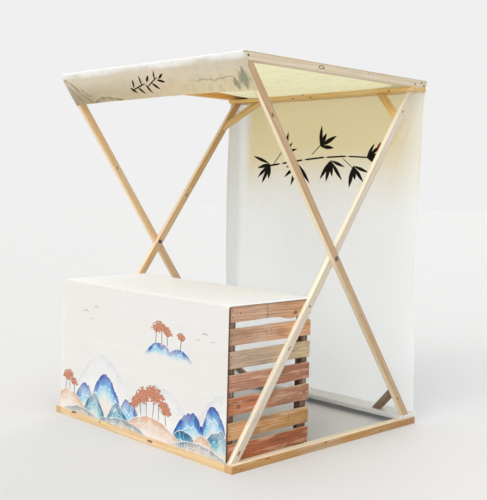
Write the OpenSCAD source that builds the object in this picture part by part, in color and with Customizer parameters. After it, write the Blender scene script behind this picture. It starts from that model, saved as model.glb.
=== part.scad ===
// Wooden market stall. Two crossed-leg side frames carry a flat canvas roof, and a
// slatted counter box stands between their front feet under the same canvas.
// X runs across the front, Y runs from front to back and Z runs up.
// The origin is on the floor, at the middle of the stall.

/* [Overall] */
// Width across the base rails
stall_w = 1500; // [1100:10:2400]
// Depth along the base rails
stall_d = 1500; // [1300:10:2000]
// Height from the floor to the top of the canvas roof
stall_h = 2000; // [1700:10:2500]

/* [Side frames] */
// Thickness of a leg, half the width of a rail
leg_t = 25; // [20:1:40]
// Width of a leg, seen from the side
leg_w = 45; // [30:1:50]
// Height of the base rails, the top rails and the front sill
rail_h = 40; // [30:1:60]
// Distance from the front end of a rail to the middle of a leg's end
front_inset = 43; // [38:1:90]
// Distance from the rear end of a rail to the middle of a leg's end
rear_inset = 92; // [60:1:105]

/* [Cross members] */
// Width of the two rear boards
rear_board_w = 135; // [125:1:220]
// Thickness of the two rear boards
rear_board_t = 22; // [15:1:35]
// Depth of the bar under the front edge of the roof
front_bar_d = 40; // [30:1:70]

/* [Knee braces] */
// Width of a brace
brace_w = 45; // [30:1:60]
// Thickness of a brace
brace_t = 25; // [18:1:32]
// Distance from the corner to each end of a top brace
top_reach = 200; // [120:5:400]
// Distance from the corner to each end of a foot brace
foot_reach = 185; // [120:5:400]

/* [Counter] */
// Depth of the counter
counter_d = 600; // [450:10:700]
// Height of the counter, cloth included
counter_h = 800; // [700:10:1000]
// Width of a corner post across the front
post_w = 40; // [30:1:60]
// Depth of a corner post
post_d = 50; // [30:1:70]
// Height of the four rails under the top boards
bearer_h = 40; // [32:1:70]
// Depth of the front and the rear rail
bearer_d = 25; // [18:1:60]
// Thickness of the reclaimed boards
slat_t = 20; // [12:1:30]
// Width of a wall slat
slat_w = 82; // [60:1:100]
// Least gap between two wall slats
slat_gap = 28; // [10:1:40]
// Which side slat has slipped, counted from the top
slipped_slat = 6; // [1:1:7]
// How far that slat has slipped down
slat_slip = 8; // [0:1:10]
// Width of a top board
top_board_w = 80; // [60:1:120]
// Least gap between two top boards
top_board_gap = 4; // [2:1:12]

/* [Canvas] */
// Thickness of the canvas
cloth_t = 3; // [1:0.5:5]
// Length of the valance along the legs
valance_l = 175; // [80:5:400]
// How far the side edges of the back canvas curve in
edge_pull = 36; // [0:1:70]
// How much narrower the back canvas is at its foot, on each side
foot_narrow = 14; // [0:1:50]

/* [Bolts] */
// Diameter of a bolt
bolt_d = 10; // [6:1:12]
// Clearance all round a bolt in its hole
bolt_gap = 0.3; // [0.1:0.1:1]
// Diameter of a bolt's domed head
head_d = 24; // [18:1:30]
// Height of a bolt's domed head
head_h = 5; // [3:0.5:8]
// Width across the corners of a nut
nut_d = 19; // [15:1:24]
// Height of a nut
nut_h = 8; // [5:0.5:10]
// Diameter of the washer under a nut
washer_d = 26; // [22:1:34]
// Thickness of the washer
washer_t = 2; // [1:0.5:3]
// How far a bolt's end stands out of its nut
bolt_stub = 2; // [1:0.5:6]

/* [Hidden] */
$fn = 48;

// Planes across the stall
half_w = stall_w / 2;
half_d = stall_d / 2;
rail_w = 2 * leg_t;
inner_x = half_w - rail_w;
leg_joint_x = half_w - leg_t;

// Levels
roof_under = stall_h - cloth_t;
top_rail_z = roof_under - rail_h;
cross_board_z = top_rail_z - rear_board_t;
sill_board_top = rail_h + rear_board_t;

// Where the canvas skins lie inside the overall depth
skin_front = -half_d + cloth_t;
skin_rear = half_d - cloth_t;
rear_board_y = skin_rear - rear_board_w;

// The legs: both have the same slope and the same level cuts
front_leg_y = -half_d + front_inset;
rear_leg_y = half_d - rear_inset;
leg_run = rear_leg_y - front_leg_y;
leg_rise = cross_board_z - rail_h;
leg_angle = atan2(leg_run, leg_rise);
leg_cut = leg_w / cos(leg_angle);
crossing_z = (rail_h + top_rail_z) / 2;
crossing_y = front_leg_y + leg_run * (crossing_z - rail_h) / leg_rise;

// The counter
counter_rear = -half_d + counter_d;
board_z = counter_h - cloth_t - slat_t;
bearer_z = board_z - bearer_h;
slat_x = inner_x - slat_t;
post_x = slat_x - post_w;
post_front = skin_front + slat_t;
wall_h = counter_h - cloth_t - rail_h;
slat_n = floor((wall_h + slat_gap) / (slat_w + slat_gap));
slat_pitch = (wall_h - slat_w) / (slat_n - 1);
board_field = 2 * slat_x;
board_n = floor((board_field + top_board_gap) / (top_board_w + top_board_gap));
board_pitch = (board_field - top_board_w) / (board_n - 1);

// The valance hangs from the front bar to a line on the legs' front faces
leg_face_y = front_leg_y - leg_cut / 2;
valance_end_y = leg_face_y + valance_l * sin(leg_angle);
valance_end_z = top_rail_z - valance_l * cos(leg_angle);

// Number of straight steps along a curved canvas edge
edge_steps = 16;

// A box from its lowest and its highest corner
module block(low, high) {
    translate(low) cube(high - low);
}

// A bar that leans in the YZ plane, cut level at both ends, from x0 to x1
module leaning_bar(y_foot, z_foot, y_top, z_top, x0, x1) {
    translate([x0, 0, 0])
        rotate([90, 0, 90])
            linear_extrude(x1 - x0)
                polygon([
                    [y_foot - leg_cut / 2, z_foot],
                    [y_foot + leg_cut / 2, z_foot],
                    [y_top + leg_cut / 2, z_top],
                    [y_top - leg_cut / 2, z_top]
                ]);
}

// The hole through both legs of a side for the bolt at their crossing
module crossing_hole() {
    translate([inner_x - rail_w, crossing_y, crossing_z])
        rotate([0, 90, 0])
            cylinder(d = bolt_d + 2 * bolt_gap, h = 3 * rail_w);
}

// The head's dome is a slice of a sphere on a thin rim
module bolt_head() {
    dome_r = (head_d * head_d / 4 + head_h * head_h) / (2 * head_h);
    rotate_extrude()
        intersection() {
            translate([0, head_h - dome_r]) circle(dome_r, $fn = 96);
            square([head_d / 2, head_h]);
        }
}

// The outline of a brace in the plane of its leg: x from the leg's face at
// face_x, y along the leg from the corner, with a tail past the corner to trim
module brace_outline(face_x, reach) {
    half_cut = brace_w / sqrt(2);
    polygon([
        [face_x, reach + half_cut],
        [face_x, reach - half_cut],
        [face_x - reach + half_cut - brace_t, -brace_t],
        [face_x - reach - half_cut - brace_t, -brace_t]
    ]);
}

module base_rail() {
    color("burlywood")
        block([inner_x, -half_d, 0], [half_w, half_d, rail_h]);
}

module top_rail() {
    color("tan")
        block([inner_x, skin_front, top_rail_z], [half_w, skin_rear, roof_under]);
}

module front_sill() {
    color("wheat")
        block([-inner_x, -half_d, 0], [inner_x, post_front + post_d, rail_h]);
}

module rear_sill_board() {
    color("wheat")
        block([-half_w, rear_board_y, rail_h], [half_w, skin_rear, sill_board_top]);
}

module front_cross_bar() {
    color("tan")
        block([-inner_x, skin_front, top_rail_z],
              [inner_x, skin_front + front_bar_d, roof_under]);
}

module rear_cross_board() {
    color("goldenrod")
        block([-half_w, rear_board_y, cross_board_z], [half_w, skin_rear, top_rail_z]);
}

module outer_leg() {
    color("peru")
        difference() {
            leaning_bar(rear_leg_y, sill_board_top, front_leg_y, top_rail_z,
                        leg_joint_x, half_w);
            crossing_hole();
        }
}

module inner_leg() {
    color("moccasin")
        difference() {
            leaning_bar(front_leg_y, rail_h, rear_leg_y, cross_board_z,
                        inner_x, leg_joint_x);
            crossing_hole();
        }
}

// The top brace lies in the plane of the inner leg and is trimmed level under the board
module top_brace() {
    color("goldenrod")
        intersection() {
            translate([0, rear_leg_y, cross_board_z])
                rotate([270 - leg_angle, 0, 0])
                    linear_extrude(brace_t, center = true)
                        brace_outline(inner_x, top_reach);
            block([-half_w, -half_d, 0], [half_w, half_d, cross_board_z]);
        }
}

// The foot brace lies in the plane of the outer leg and is trimmed level on the sill
module foot_brace() {
    color("sienna")
        intersection() {
            translate([0, rear_leg_y, sill_board_top])
                rotate([90 + leg_angle, 0, 0])
                    linear_extrude(brace_t, center = true)
                        brace_outline(leg_joint_x, foot_reach);
            block([-half_w, -half_d, sill_board_top + cloth_t], [half_w, half_d, stall_h]);
        }
}

// The bolt runs along X: stub, nut and washer inside, shank, domed head outside
module cross_bolt() {
    color("dimgray")
        translate([inner_x, crossing_y, crossing_z])
            rotate([0, 90, 0]) {
                translate([0, 0, -washer_t - nut_h - bolt_stub])
                    cylinder(d = bolt_d, h = rail_w + washer_t + nut_h + bolt_stub);
                translate([0, 0, -washer_t - nut_h])
                    cylinder(d = nut_d, h = nut_h, $fn = 6);
                translate([0, 0, -washer_t])
                    cylinder(d = washer_d, h = washer_t);
                translate([0, 0, rail_w])
                    bolt_head();
            }
}

module counter_post_front() {
    color("rosybrown")
        block([post_x, post_front, rail_h], [slat_x, post_front + post_d, bearer_z]);
}

module counter_post_rear() {
    color("rosybrown")
        block([post_x, counter_rear - post_d, 0], [slat_x, counter_rear, bearer_z]);
}

// The side rail lies on both posts of its side
module counter_side_rail() {
    color("rosybrown")
        block([post_x, post_front, bearer_z], [slat_x, counter_rear, board_z]);
}

// The front and the rear rail run between the side rails
module counter_cross_rail(y) {
    color("rosybrown")
        block([-post_x, y, bearer_z], [post_x, y + bearer_d, board_z]);
}

module counter_top_boards() {
    color("tan")
        for (i = [0 : board_n - 1])
            translate([-slat_x + i * board_pitch, post_front, board_z])
                cube([top_board_w, counter_rear - post_front, slat_t]);
}

// Height of the underside of slat i, counted from 0 at the top
function slat_z(i) = counter_h - cloth_t - slat_w - i * slat_pitch;

module counter_slats_side() {
    color("rosybrown")
        for (i = [0 : slat_n - 1]) {
            slip = (i == slipped_slat - 1 && i < slat_n - 1) ? slat_slip : 0;
            translate([slat_x, skin_front, slat_z(i) - slip])
                cube([slat_t, counter_rear - skin_front, slat_w]);
        }
}

module counter_slats_front() {
    color("rosybrown")
        for (i = [0 : slat_n - 1])
            translate([-slat_x, skin_front, slat_z(i)])
                cube([2 * slat_x, slat_t, slat_w]);
}

module counter_top_cloth() {
    color("whitesmoke")
        block([-inner_x, -half_d, counter_h - cloth_t], [inner_x, counter_rear, counter_h]);
}

module counter_front_cloth() {
    color("ivory")
        block([-inner_x, -half_d, rail_h], [inner_x, skin_front, counter_h - cloth_t]);
}

module roof_cloth() {
    color("beige")
        block([-half_w, -half_d, roof_under], [half_w, half_d, stall_h]);
}

// The valance runs down the front bar, then slopes back to the legs' front faces
module front_valance() {
    color("antiquewhite")
        translate([-half_w, 0, 0])
            rotate([90, 0, 90])
                linear_extrude(stall_w)
                    polygon([
                        [-half_d, roof_under],
                        [skin_front, roof_under],
                        [skin_front, top_rail_z],
                        [valance_end_y, valance_end_z],
                        [valance_end_y - cloth_t, valance_end_z],
                        [-half_d, top_rail_z]
                    ]);
}

// Half the width of the back canvas, from 0 at its foot to 1 at the roof
function back_half_w(t) =
    half_w - foot_narrow * (1 - t) - (edge_pull - foot_narrow / 2) * sin(180 * t);

function back_z(t) = rail_h + t * (roof_under - rail_h);

module back_cloth() {
    color("whitesmoke")
        translate([0, half_d, 0])
            rotate([90, 0, 0])
                linear_extrude(cloth_t)
                    polygon(concat(
                        [for (i = [0 : edge_steps])
                            [back_half_w(i / edge_steps), back_z(i / edge_steps)]],
                        [for (i = [edge_steps : -1 : 0])
                            [-back_half_w(i / edge_steps), back_z(i / edge_steps)]]
                    ));
}

// The tail of the canvas wraps the sill board: under it, up its front and over its top
module sill_cloth() {
    color("white")
        translate([-inner_x, 0, 0])
            rotate([90, 0, 90])
                linear_extrude(2 * inner_x)
                    polygon([
                        [half_d, rail_h - cloth_t],
                        [rear_board_y - cloth_t, rail_h - cloth_t],
                        [rear_board_y - cloth_t, sill_board_top + cloth_t],
                        [skin_rear, sill_board_top + cloth_t],
                        [skin_rear, sill_board_top],
                        [rear_board_y, sill_board_top],
                        [rear_board_y, rail_h],
                        [half_d, rail_h]
                    ]);
}

// The left side mirrors the right
module left() {
    mirror([1, 0, 0]) children();
}

left() base_rail();  // base_rail_left
base_rail();  // base_rail_right
front_sill();
rear_sill_board();
left() outer_leg();  // outer_leg_left
outer_leg();  // outer_leg_right
left() inner_leg();  // inner_leg_left
inner_leg();  // inner_leg_right
left() top_rail();  // top_rail_left
top_rail();  // top_rail_right
front_cross_bar();
rear_cross_board();
left() top_brace();  // top_brace_left
top_brace();  // top_brace_right
left() foot_brace();  // foot_brace_left
foot_brace();  // foot_brace_right
left() cross_bolt();  // cross_bolt_left
cross_bolt();  // cross_bolt_right
left() counter_post_front();  // counter_post_front_left
counter_post_front();  // counter_post_front_right
left() counter_post_rear();  // counter_post_rear_left
counter_post_rear();  // counter_post_rear_right
left() counter_side_rail();  // counter_side_rail_left
counter_side_rail();  // counter_side_rail_right
counter_cross_rail(post_front);  // counter_front_rail
counter_cross_rail(counter_rear - bearer_d);  // counter_rear_rail
counter_top_boards();
left() counter_slats_side();  // counter_slats_left
counter_slats_side();  // counter_slats_right
counter_slats_front();
counter_top_cloth();
counter_front_cloth();
roof_cloth();
front_valance();
back_cloth();
sill_cloth();
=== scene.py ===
# Looks for the wooden market stall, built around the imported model.
# Metres throughout: X across the front, Y from front to back, Z up.

import math

import bmesh
import bpy
from mathutils import Matrix, Vector, noise


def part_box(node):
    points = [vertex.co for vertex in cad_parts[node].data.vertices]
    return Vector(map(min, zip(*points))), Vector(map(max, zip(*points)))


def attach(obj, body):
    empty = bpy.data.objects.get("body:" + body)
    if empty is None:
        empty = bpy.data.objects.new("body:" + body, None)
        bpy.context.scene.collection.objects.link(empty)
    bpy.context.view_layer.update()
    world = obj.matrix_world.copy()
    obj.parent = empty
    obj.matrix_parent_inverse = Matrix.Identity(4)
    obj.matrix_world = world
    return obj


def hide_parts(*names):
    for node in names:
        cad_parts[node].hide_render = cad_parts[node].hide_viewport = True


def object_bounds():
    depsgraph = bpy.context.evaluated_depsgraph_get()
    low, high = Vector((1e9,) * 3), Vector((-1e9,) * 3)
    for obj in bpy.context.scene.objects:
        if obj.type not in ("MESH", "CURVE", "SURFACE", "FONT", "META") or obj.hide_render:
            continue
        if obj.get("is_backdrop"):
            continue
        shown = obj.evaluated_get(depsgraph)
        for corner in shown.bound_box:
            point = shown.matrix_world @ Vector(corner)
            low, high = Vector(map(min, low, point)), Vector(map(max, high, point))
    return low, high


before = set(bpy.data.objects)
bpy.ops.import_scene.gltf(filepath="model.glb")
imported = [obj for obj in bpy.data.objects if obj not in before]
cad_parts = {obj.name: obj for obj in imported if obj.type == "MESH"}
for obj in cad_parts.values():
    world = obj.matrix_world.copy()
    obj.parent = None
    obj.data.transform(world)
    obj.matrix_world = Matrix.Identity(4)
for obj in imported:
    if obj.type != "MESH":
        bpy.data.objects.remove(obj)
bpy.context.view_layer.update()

# Directions
X = Vector((1, 0, 0))
Y = Vector((0, 1, 0))
Z = Vector((0, 0, 1))
SIDES = (("right", 1), ("left", -1))

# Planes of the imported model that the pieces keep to
HALF_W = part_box("base_rail_right")[1].x
HALF_D = -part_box("base_rail_right")[0].y
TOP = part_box("roof_cloth")[1].z
COUNTER_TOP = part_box("counter_top_cloth")[1].z
COUNTER_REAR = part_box("counter_top_cloth")[1].y
INNER_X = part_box("front_sill")[1].x
RAIL_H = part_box("base_rail_right")[1].z
TOP_RAIL_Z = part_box("top_rail_right")[0].z
SILL_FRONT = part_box("rear_sill_board")[0].y
SILL_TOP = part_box("rear_sill_board")[1].z
VALANCE_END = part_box("front_valance")[0].z
VALANCE_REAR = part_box("front_valance")[1].y
LEG_JOINT_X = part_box("outer_leg_right")[0].x

# Slope of the legs in the YZ plane
LEG_ANGLE = math.radians(35.8)
INNER_UP = Vector((0, math.sin(LEG_ANGLE), math.cos(LEG_ANGLE)))
OUTER_UP = Vector((0, -math.sin(LEG_ANGLE), math.cos(LEG_ANGLE)))


def ripple(size, x, y, z):
    """A smooth irregular wave of this size, always the same at the same place."""
    return size * noise.noise(Vector((x, y, z)))


def near(value, place, reach):
    """1 at the place, falling smoothly to 0 beyond the reach."""
    return math.exp(-(((value - place) / reach) ** 2))


def ease(value, start, end):
    """0 before the start, 1 after the end and smooth between."""
    share = min(1.0, max(0.0, (value - start) / (end - start)))
    return share * share * (3 - 2 * share)


def tone(red, green, blue):
    """A linear colour from 0 to 255 display values."""
    linear = []
    for value in (red, green, blue):
        share = value / 255
        linear.append(share / 12.92 if share <= 0.04045 else ((share + 0.055) / 1.055) ** 2.4)
    return (*linear, 1.0)


# Node trees

# A Mix node's sockets for colours: the first, the second and the mixed one
MIX_FIRST, MIX_SECOND, MIX_OUT = 6, 7, 2


def by_math(operation):
    """A method that makes a Math node of a value and of what follows."""
    return lambda self, *others: self.tree.math(operation, self, *others)


class Value:
    """A number, vector or colour in a node tree. Arithmetic on it makes Math nodes."""

    def __init__(self, tree, socket):
        self.tree = tree
        self.socket = socket

    __add__ = by_math("ADD")
    __sub__ = by_math("SUBTRACT")
    __mul__ = by_math("MULTIPLY")
    __truediv__ = by_math("DIVIDE")
    __pow__ = by_math("POWER")
    __abs__ = by_math("ABSOLUTE")
    fract = by_math("FRACT")
    # Takes a factor, and what is added after it
    scaled = by_math("MULTIPLY_ADD")

    def __rsub__(self, other):
        return self.tree.math("SUBTRACT", other, self)

    def fade(self, start, end, low=0.0, high=1.0):
        """Goes smoothly from low, at the start, to high, at the end."""
        return self.tree.take(0, "MapRange", self, start, end, low, high,
                              interpolation_type="SMOOTHSTEP")


class Tree:
    """The nodes of a material or of the world. Colours are written in display values."""

    def __init__(self, owner):
        owner.use_nodes = True
        self.nodes = owner.node_tree.nodes
        self.links = owner.node_tree.links
        self.nodes.clear()

    def feed(self, socket, value):
        if isinstance(value, Value):
            self.links.new(value.socket, socket)
        elif socket.type == "RGBA":
            socket.default_value = tone(*value)
        else:
            socket.default_value = value

    def node(self, kind, *values, **settings):
        """A new node with these settings, and these values on its first sockets."""
        node = self.nodes.new("ShaderNode" + kind)
        for name, setting in settings.items():
            setattr(node, name, setting)
        for socket, value in zip(node.inputs, values):
            self.feed(socket, value)
        return node

    def take(self, output, kind, *values, **settings):
        """What a new node gives out at this output."""
        return Value(self, self.node(kind, *values, **settings).outputs[output])

    def math(self, operation, *values):
        return self.take(0, "Math", *values, operation=operation)

    def vector(self, operation, *values):
        single = operation in ("LENGTH", "DOT_PRODUCT")
        return self.take("Value" if single else "Vector", "VectorMath", *values,
                         operation=operation)

    def join(self, x, y, z):
        return self.take(0, "CombineXYZ", x, y, z)

    def split(self, vector):
        return [Value(self, socket) for socket in self.node("SeparateXYZ", vector).outputs]

    def place(self, name):
        """The place that the mesh's points carry under this name."""
        return self.take("Vector", "Attribute", attribute_name=name)

    def world_place(self):
        return self.take("Object", "TexCoord")

    def facing(self, direction):
        """How far the surface faces in a direction, from -1 to 1."""
        return self.vector("DOT_PRODUCT", self.take("Normal", "NewGeometry"), direction)

    def noise(self, place, scale, detail, rough=0.5):
        """Noise at a vector, or at its three parts."""
        if isinstance(place, tuple):
            place = self.join(*place)
        node = self.node("TexNoise", place)
        for name, value in (("Scale", scale), ("Detail", detail), ("Roughness", rough)):
            node.inputs[name].default_value = value
        return Value(self, node.outputs[0])

    def stretched_noise(self, vector, scale, shift, detail, rough=0.5):
        """Noise with a scale of its own in each direction. shift chooses the part of it."""
        moved = self.vector("MULTIPLY_ADD", vector, scale, (shift, shift * 1.7, shift * 0.6))
        return self.noise(moved, 1.0, detail, rough)

    def mix(self, share, first, second, blend="MIX"):
        node = self.node("Mix", share, data_type="RGBA", blend_type=blend, clamp_factor=True)
        self.feed(node.inputs[MIX_FIRST], first)
        self.feed(node.inputs[MIX_SECOND], second)
        return Value(self, node.outputs[MIX_OUT])

    def ramp(self, share, stops):
        """Runs through colours, each with its place from 0 to 1."""
        node = self.node("ValToRGB", share)
        elements = node.color_ramp.elements
        while len(elements) < len(stops):
            elements.new(0.5)
        for element, (place, colour) in zip(elements, stops):
            element.position = place
            element.color = tone(*colour)
        return Value(self, node.outputs[0])

    def strokes(self, u, v, marks):
        """A mask of brush strokes, which grows towards the middle of each.

        A mark is (u, v, angle, half length, half width, belly). The greater its belly, the
        longer it keeps its width.
        """
        best = 0.0
        flat = self.join(u, v, 1.0)
        for mu, mv, angle, long, wide, belly in marks:
            turn = math.radians(angle)
            along = Vector((math.cos(turn), math.sin(turn), 0.0)) / long
            aside = Vector((-math.sin(turn), math.cos(turn), 0.0)) / wide
            middle = Vector((mu, mv, 0.0))
            along.z = -along.dot(middle)
            aside.z = -aside.dot(middle)
            p = abs(self.vector("DOT_PRODUCT", flat, along))
            q = abs(self.vector("DOT_PRODUCT", flat, aside))
            best = self.math("MAXIMUM", best, 1.0 - (p ** belly + q))
        return best


class Shader(Tree):
    """One material: a surface, and the body colour that is laid on it in coats."""

    def __init__(self, name, roughness, body):
        self.material = bpy.data.materials.new(name)
        super().__init__(self.material)
        self.surface = self.node("BsdfPrincipled")
        self.node("OutputMaterial", Value(self, self.surface.outputs[0]))
        self.set("Roughness", roughness)
        self.body = body

    def set(self, name, value):
        self.feed(self.surface.inputs[name], value)

    def coat(self, share, colour, blend="MIX"):
        self.body = self.mix(share, self.body, colour, blend)

    def finish(self):
        self.set("Base Color", self.body)
        return self

    def bump(self, height, distance, strength):
        node = self.node("Bump", strength, distance)
        self.feed(node.inputs["Height"], height)
        self.set("Normal", Value(self, node.outputs[0]))


# Colours that the woods share
BLEACHED = (232, 204, 176)
SUNLIT = (255, 250, 232)
GRIME = (118, 98, 82)
CRACK = (60, 40, 28)
SPLIT = (74, 46, 30)
KNOT_HEART = (158, 100, 60)
KNOT_RIM = (92, 54, 32)
KNOT_EDGE = (124, 76, 46)
# Early and late wood in the end grain of weathered and of new timber
OLD_ENDS = ((188, 140, 98), (118, 70, 42))
NEW_ENDS = ((226, 184, 132), (158, 108, 66))
# Spacing of the growth rings, and of the broader bands of colour over them
RING = 0.0042
RING_BAND = 0.0147


def wood(name, early, late, seed, knots=(), old=0.0, other=None, pith=(0.035, -0.03),
         ends=(0, 1, 0), painted_highlight=None, splits=(), hollow=False):
    """Sawn pine: growth rings about a pith line, knots, fibres, saw marks and end grain.

    knots are (along, across, deep, and half their length, width and thickness) in the board's
    own metres, and splits are strokes in them. old is how weathered the board is, other the
    colour that it turns to at its far end, pith the place (across, deep) of the rings' middle,
    ends the direction of its cut ends, and pale a painted highlight: a lighter colour on the
    faces that look in its direction. A hollow knot shows plain wood within its rim.
    """
    sh = Shader(name, 0.62, early)
    grain = sh.place("grain")
    along, across, deep = sh.split(grain)

    def drawn_out(step, lengthwise, thin, detail, rough=0.5):
        """Noise that is drawn out along the board."""
        scale = (lengthwise, thin, thin)
        return sh.stretched_noise(grain, scale, seed + step, detail, rough)

    push = 0.0
    nearest = 9.0
    for k_along, k_across, k_deep, k_long, k_wide, k_thick in knots:
        away = sh.vector("SUBTRACT", grain, (k_along, k_across, k_deep))
        away = sh.vector("MULTIPLY", away, (1 / k_long, 1 / k_wide, 1 / k_thick))
        distance = sh.vector("LENGTH", away)
        push = distance.fade(0.0, 3.2, k_wide * 1.6, 0.0) + push
        nearest = sh.math("MINIMUM", nearest, distance)
    warp = drawn_out(0, 1.1, 7.0, 2.0) * (0.045 if old else 0.035)
    to_pith = sh.vector("SUBTRACT", sh.join(0.0, across, deep), (0.0, *pith))
    radius = sh.vector("LENGTH", to_pith) + warp + push
    ring = (radius / RING).fract()
    late_wood = ring.fade(0.25, 0.85) * ring.fade(1.0, 0.93)
    band = (radius / RING_BAND).fract()
    band = band.fade(0.1, 0.8) * band.fade(1.0, 0.86)
    fibre = drawn_out(3, 9.0, 700.0, 2.0)
    streak = drawn_out(5, 2.2, 90.0, 3.0)
    patch = drawn_out(9, 3.0, 14.0, 3.0)
    if other:
        reach = along + (patch - 0.5) * 0.5
        sh.coat(reach.fade(-0.16, 0.2), other)
    sh.coat(late_wood * 0.4, late)
    sh.coat(band * patch.fade(0.3, 0.65, 0.5, 0.12), late)
    sh.coat(streak.fade(0.46, 0.74, 0.0, 0.6), late)
    if old:
        bleach = drawn_out(29, 6.0, 40.0, 4.0, 0.6)
        sh.coat(bleach.fade(0.48, 0.66, 0.0, 0.45), BLEACHED)
    else:
        sh.coat(patch.fade(0.35, 0.6, 0.16, 0.0), SUNLIT, "SCREEN")
    sh.coat(fibre.fade(0.3, 0.75, 0.16, 0.0), late, "MULTIPLY")
    rough = streak * 0.6
    if old:
        grime = drawn_out(13, 4.0, 22.0, 5.0, 0.62)
        sh.coat(grime.fade(0.5, 0.74, 0.0, old), GRIME, "MULTIPLY")
        crack = drawn_out(17, 2.6, 120.0, 3.0, 0.55).fade(0.68, 0.72)
        sh.coat(crack * 0.75, CRACK)
        rough = rough - crack
    # Painted highlight: the faces that look the given way turn lighter, in streaks
    if painted_highlight:
        light, look = painted_highlight
        sh.coat(sh.facing(look).fade(0.72, 0.92) * streak.fade(0.3, 0.8, 0.9, 0.5), light)
    if knots:
        ragged = drawn_out(25, 160.0, 260.0, 2.0)
        nearest = nearest + ragged.scaled(0.5, -0.25)
        heart = early if hollow else KNOT_HEART
        eye = ((0.0, heart), (0.5, heart), (0.72, KNOT_RIM), (1.0, KNOT_EDGE))
        sh.coat(nearest.fade(1.1, 0.92), sh.ramp(nearest, eye))
    if splits:
        opened = sh.strokes(along, across, splits).fade(0.0, 0.5)
        sh.coat(opened * 0.88, SPLIT)
        rough = rough - opened
    cut = sh.mix(late_wood * 0.7, *(OLD_ENDS if old else NEW_ENDS))
    sh.coat(abs(sh.facing(ends)).fade(0.72, 0.86) * 0.7, cut)
    saw = drawn_out(21, 260.0, 9.0, 1.0)
    height = rough + saw * (0.5 if old else 0.25) + fibre * 0.35
    sh.bump(height, 0.0009 if old else 0.0005, 0.8)
    return sh.finish()


def steel(name, colour, dull, rust=0.0):
    """Zinc-plated or blackened steel with a cloudy finish."""
    sh = Shader(name, dull, colour)
    sh.set("Metallic", 0.9)
    place = sh.world_place()
    cloud = sh.noise(place, 260.0, 3.0)
    sh.coat(cloud.fade(0.35, 0.65, 0.0, 0.5), (60, 56, 52))
    if rust:
        speck = sh.noise(place, 900.0, 2.0)
        sh.coat(speck.fade(0.55, 0.7, 0.0, rust), (98, 54, 30))
    sh.set("Roughness", cloud.fade(0.3, 0.7, dull - 0.12, dull + 0.15))
    sh.bump(cloud, 0.0002, 0.5)
    return sh.finish()


# Width of a canvas thread, the stitches' way in from the edge, their step and their share of it
THREAD = 0.0011
STITCH_IN = 0.013
STITCH_STEP = 0.0065
STITCH_SHARE = 0.68


def canvas(name, body, slub, through, reach=(1.0, 0.99, 0.96)):
    """Plain-weave canvas with uneven threads, faint creases and a stitched hem.

    slub is the colour of its thick threads. through is the share of the light that scatters
    through the cloth, and reach is how far red, green and blue go. A print can go over it.
    """
    sh = Shader(name, 0.86, body)
    sh.set("Subsurface Weight", through)
    sh.set("Subsurface Radius", reach)
    sh.set("Subsurface Scale", 0.012)
    sh.set("Specular IOR Level", 0.1)
    flat = sh.place("cloth")
    across, down, edge = sh.split(flat)
    turn = math.pi / THREAD
    weave = sh.math("SINE", across * turn) * sh.math("SINE", down * turn)
    thick_warp = sh.stretched_noise(flat, (420.0, 5.0, 0.0), 2.0, 1.0)
    thick_weft = sh.stretched_noise(flat, (5.0, 420.0, 0.0), 6.0, 1.0)
    threads = thick_warp + thick_weft
    cloud = sh.stretched_noise(flat, (3.2, 3.2, 0.0), 4.0, 4.0)
    crease = sh.stretched_noise(flat, (9.0, 5.0, 0.0), 8.0, 4.0, 0.6)
    sh.coat(threads.fade(0.85, 1.25, 0.0, 0.5), slub)
    sh.coat(cloud.fade(0.42, 0.72, 0.0, 0.35), slub)
    line = abs(edge - STITCH_IN).fade(0.0011, 0.0006)
    run = ((across + down) / STITCH_STEP).fract()
    stitch = line * sh.math("LESS_THAN", run, STITCH_SHARE)
    sh.coat(line * 0.35, (150, 138, 116))
    sh.coat(stitch * 0.6, (246, 242, 230))
    sh.bump(weave * 0.25 + threads * 0.5 + crease * 2.2 + stitch, 0.0011, 0.55)
    return sh


# Mesh pieces


def add_piece(bm, name, looks, slot, *nodes, smooth_under=0.6):
    """A piece from a bmesh, riding on the stall's one body in the place of these nodes."""
    bmesh.ops.recalc_face_normals(bm, faces=bm.faces)
    mesh = bpy.data.meshes.new(name)
    bm.to_mesh(mesh)
    bm.free()
    for look in looks:
        mesh.materials.append(look.material)
    mesh.shade_smooth()
    mesh.set_sharp_from_angle(angle=smooth_under)
    piece = bpy.data.objects.new(name, mesh)
    bpy.context.scene.collection.objects.link(piece)
    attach(piece, "root")
    if nodes:
        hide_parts(*nodes)
    return piece


def join_rings(bm, rings):
    """Faces between neighbouring rings of points. A ring may also be a single point."""
    faces = []
    for first, second in zip(rings, rings[1:]):
        count = max(len(first), len(second))
        for i in range(count):
            j = (i + 1) % count
            corners = (first[i % len(first)], second[i % len(second)],
                       second[j % len(second)], first[j % len(first)])
            faces.append(bm.faces.new(list(dict.fromkeys(corners))))
    return faces


def solid_of(node):
    """A node's own solid as a bmesh, with its points welded."""
    bm = bmesh.new()
    bm.from_mesh(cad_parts[node].data)
    bmesh.ops.remove_doubles(bm, verts=bm.verts, dist=1e-6)
    return bm


def board_of(node):
    """A node's solid with whole flat faces, and its middle."""
    bm = solid_of(node)
    bmesh.ops.dissolve_limit(bm, angle_limit=0.01, verts=bm.verts, edges=bm.edges)
    low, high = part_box(node)
    return bm, (low + high) / 2


def in_board(point, centre, along, across):
    """A point's place in its own board: along, across and deep."""
    away = Vector(point) - centre
    return away.dot(along), away.dot(across), away.dot(along.cross(across))


def store_grain(bm, *board):
    """Writes each point's place in its own board, for the wood's rings and fibres."""
    layer = bm.verts.layers.float_vector.new("grain")
    for vertex in bm.verts:
        vertex[layer] = in_board(vertex.co, *board)


# Sawn timbers

# How far a sawn edge is rounded, and the longest edge of a bolt hole's rim
EASED = 0.0018
HOLE_EDGE = 0.004
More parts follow.
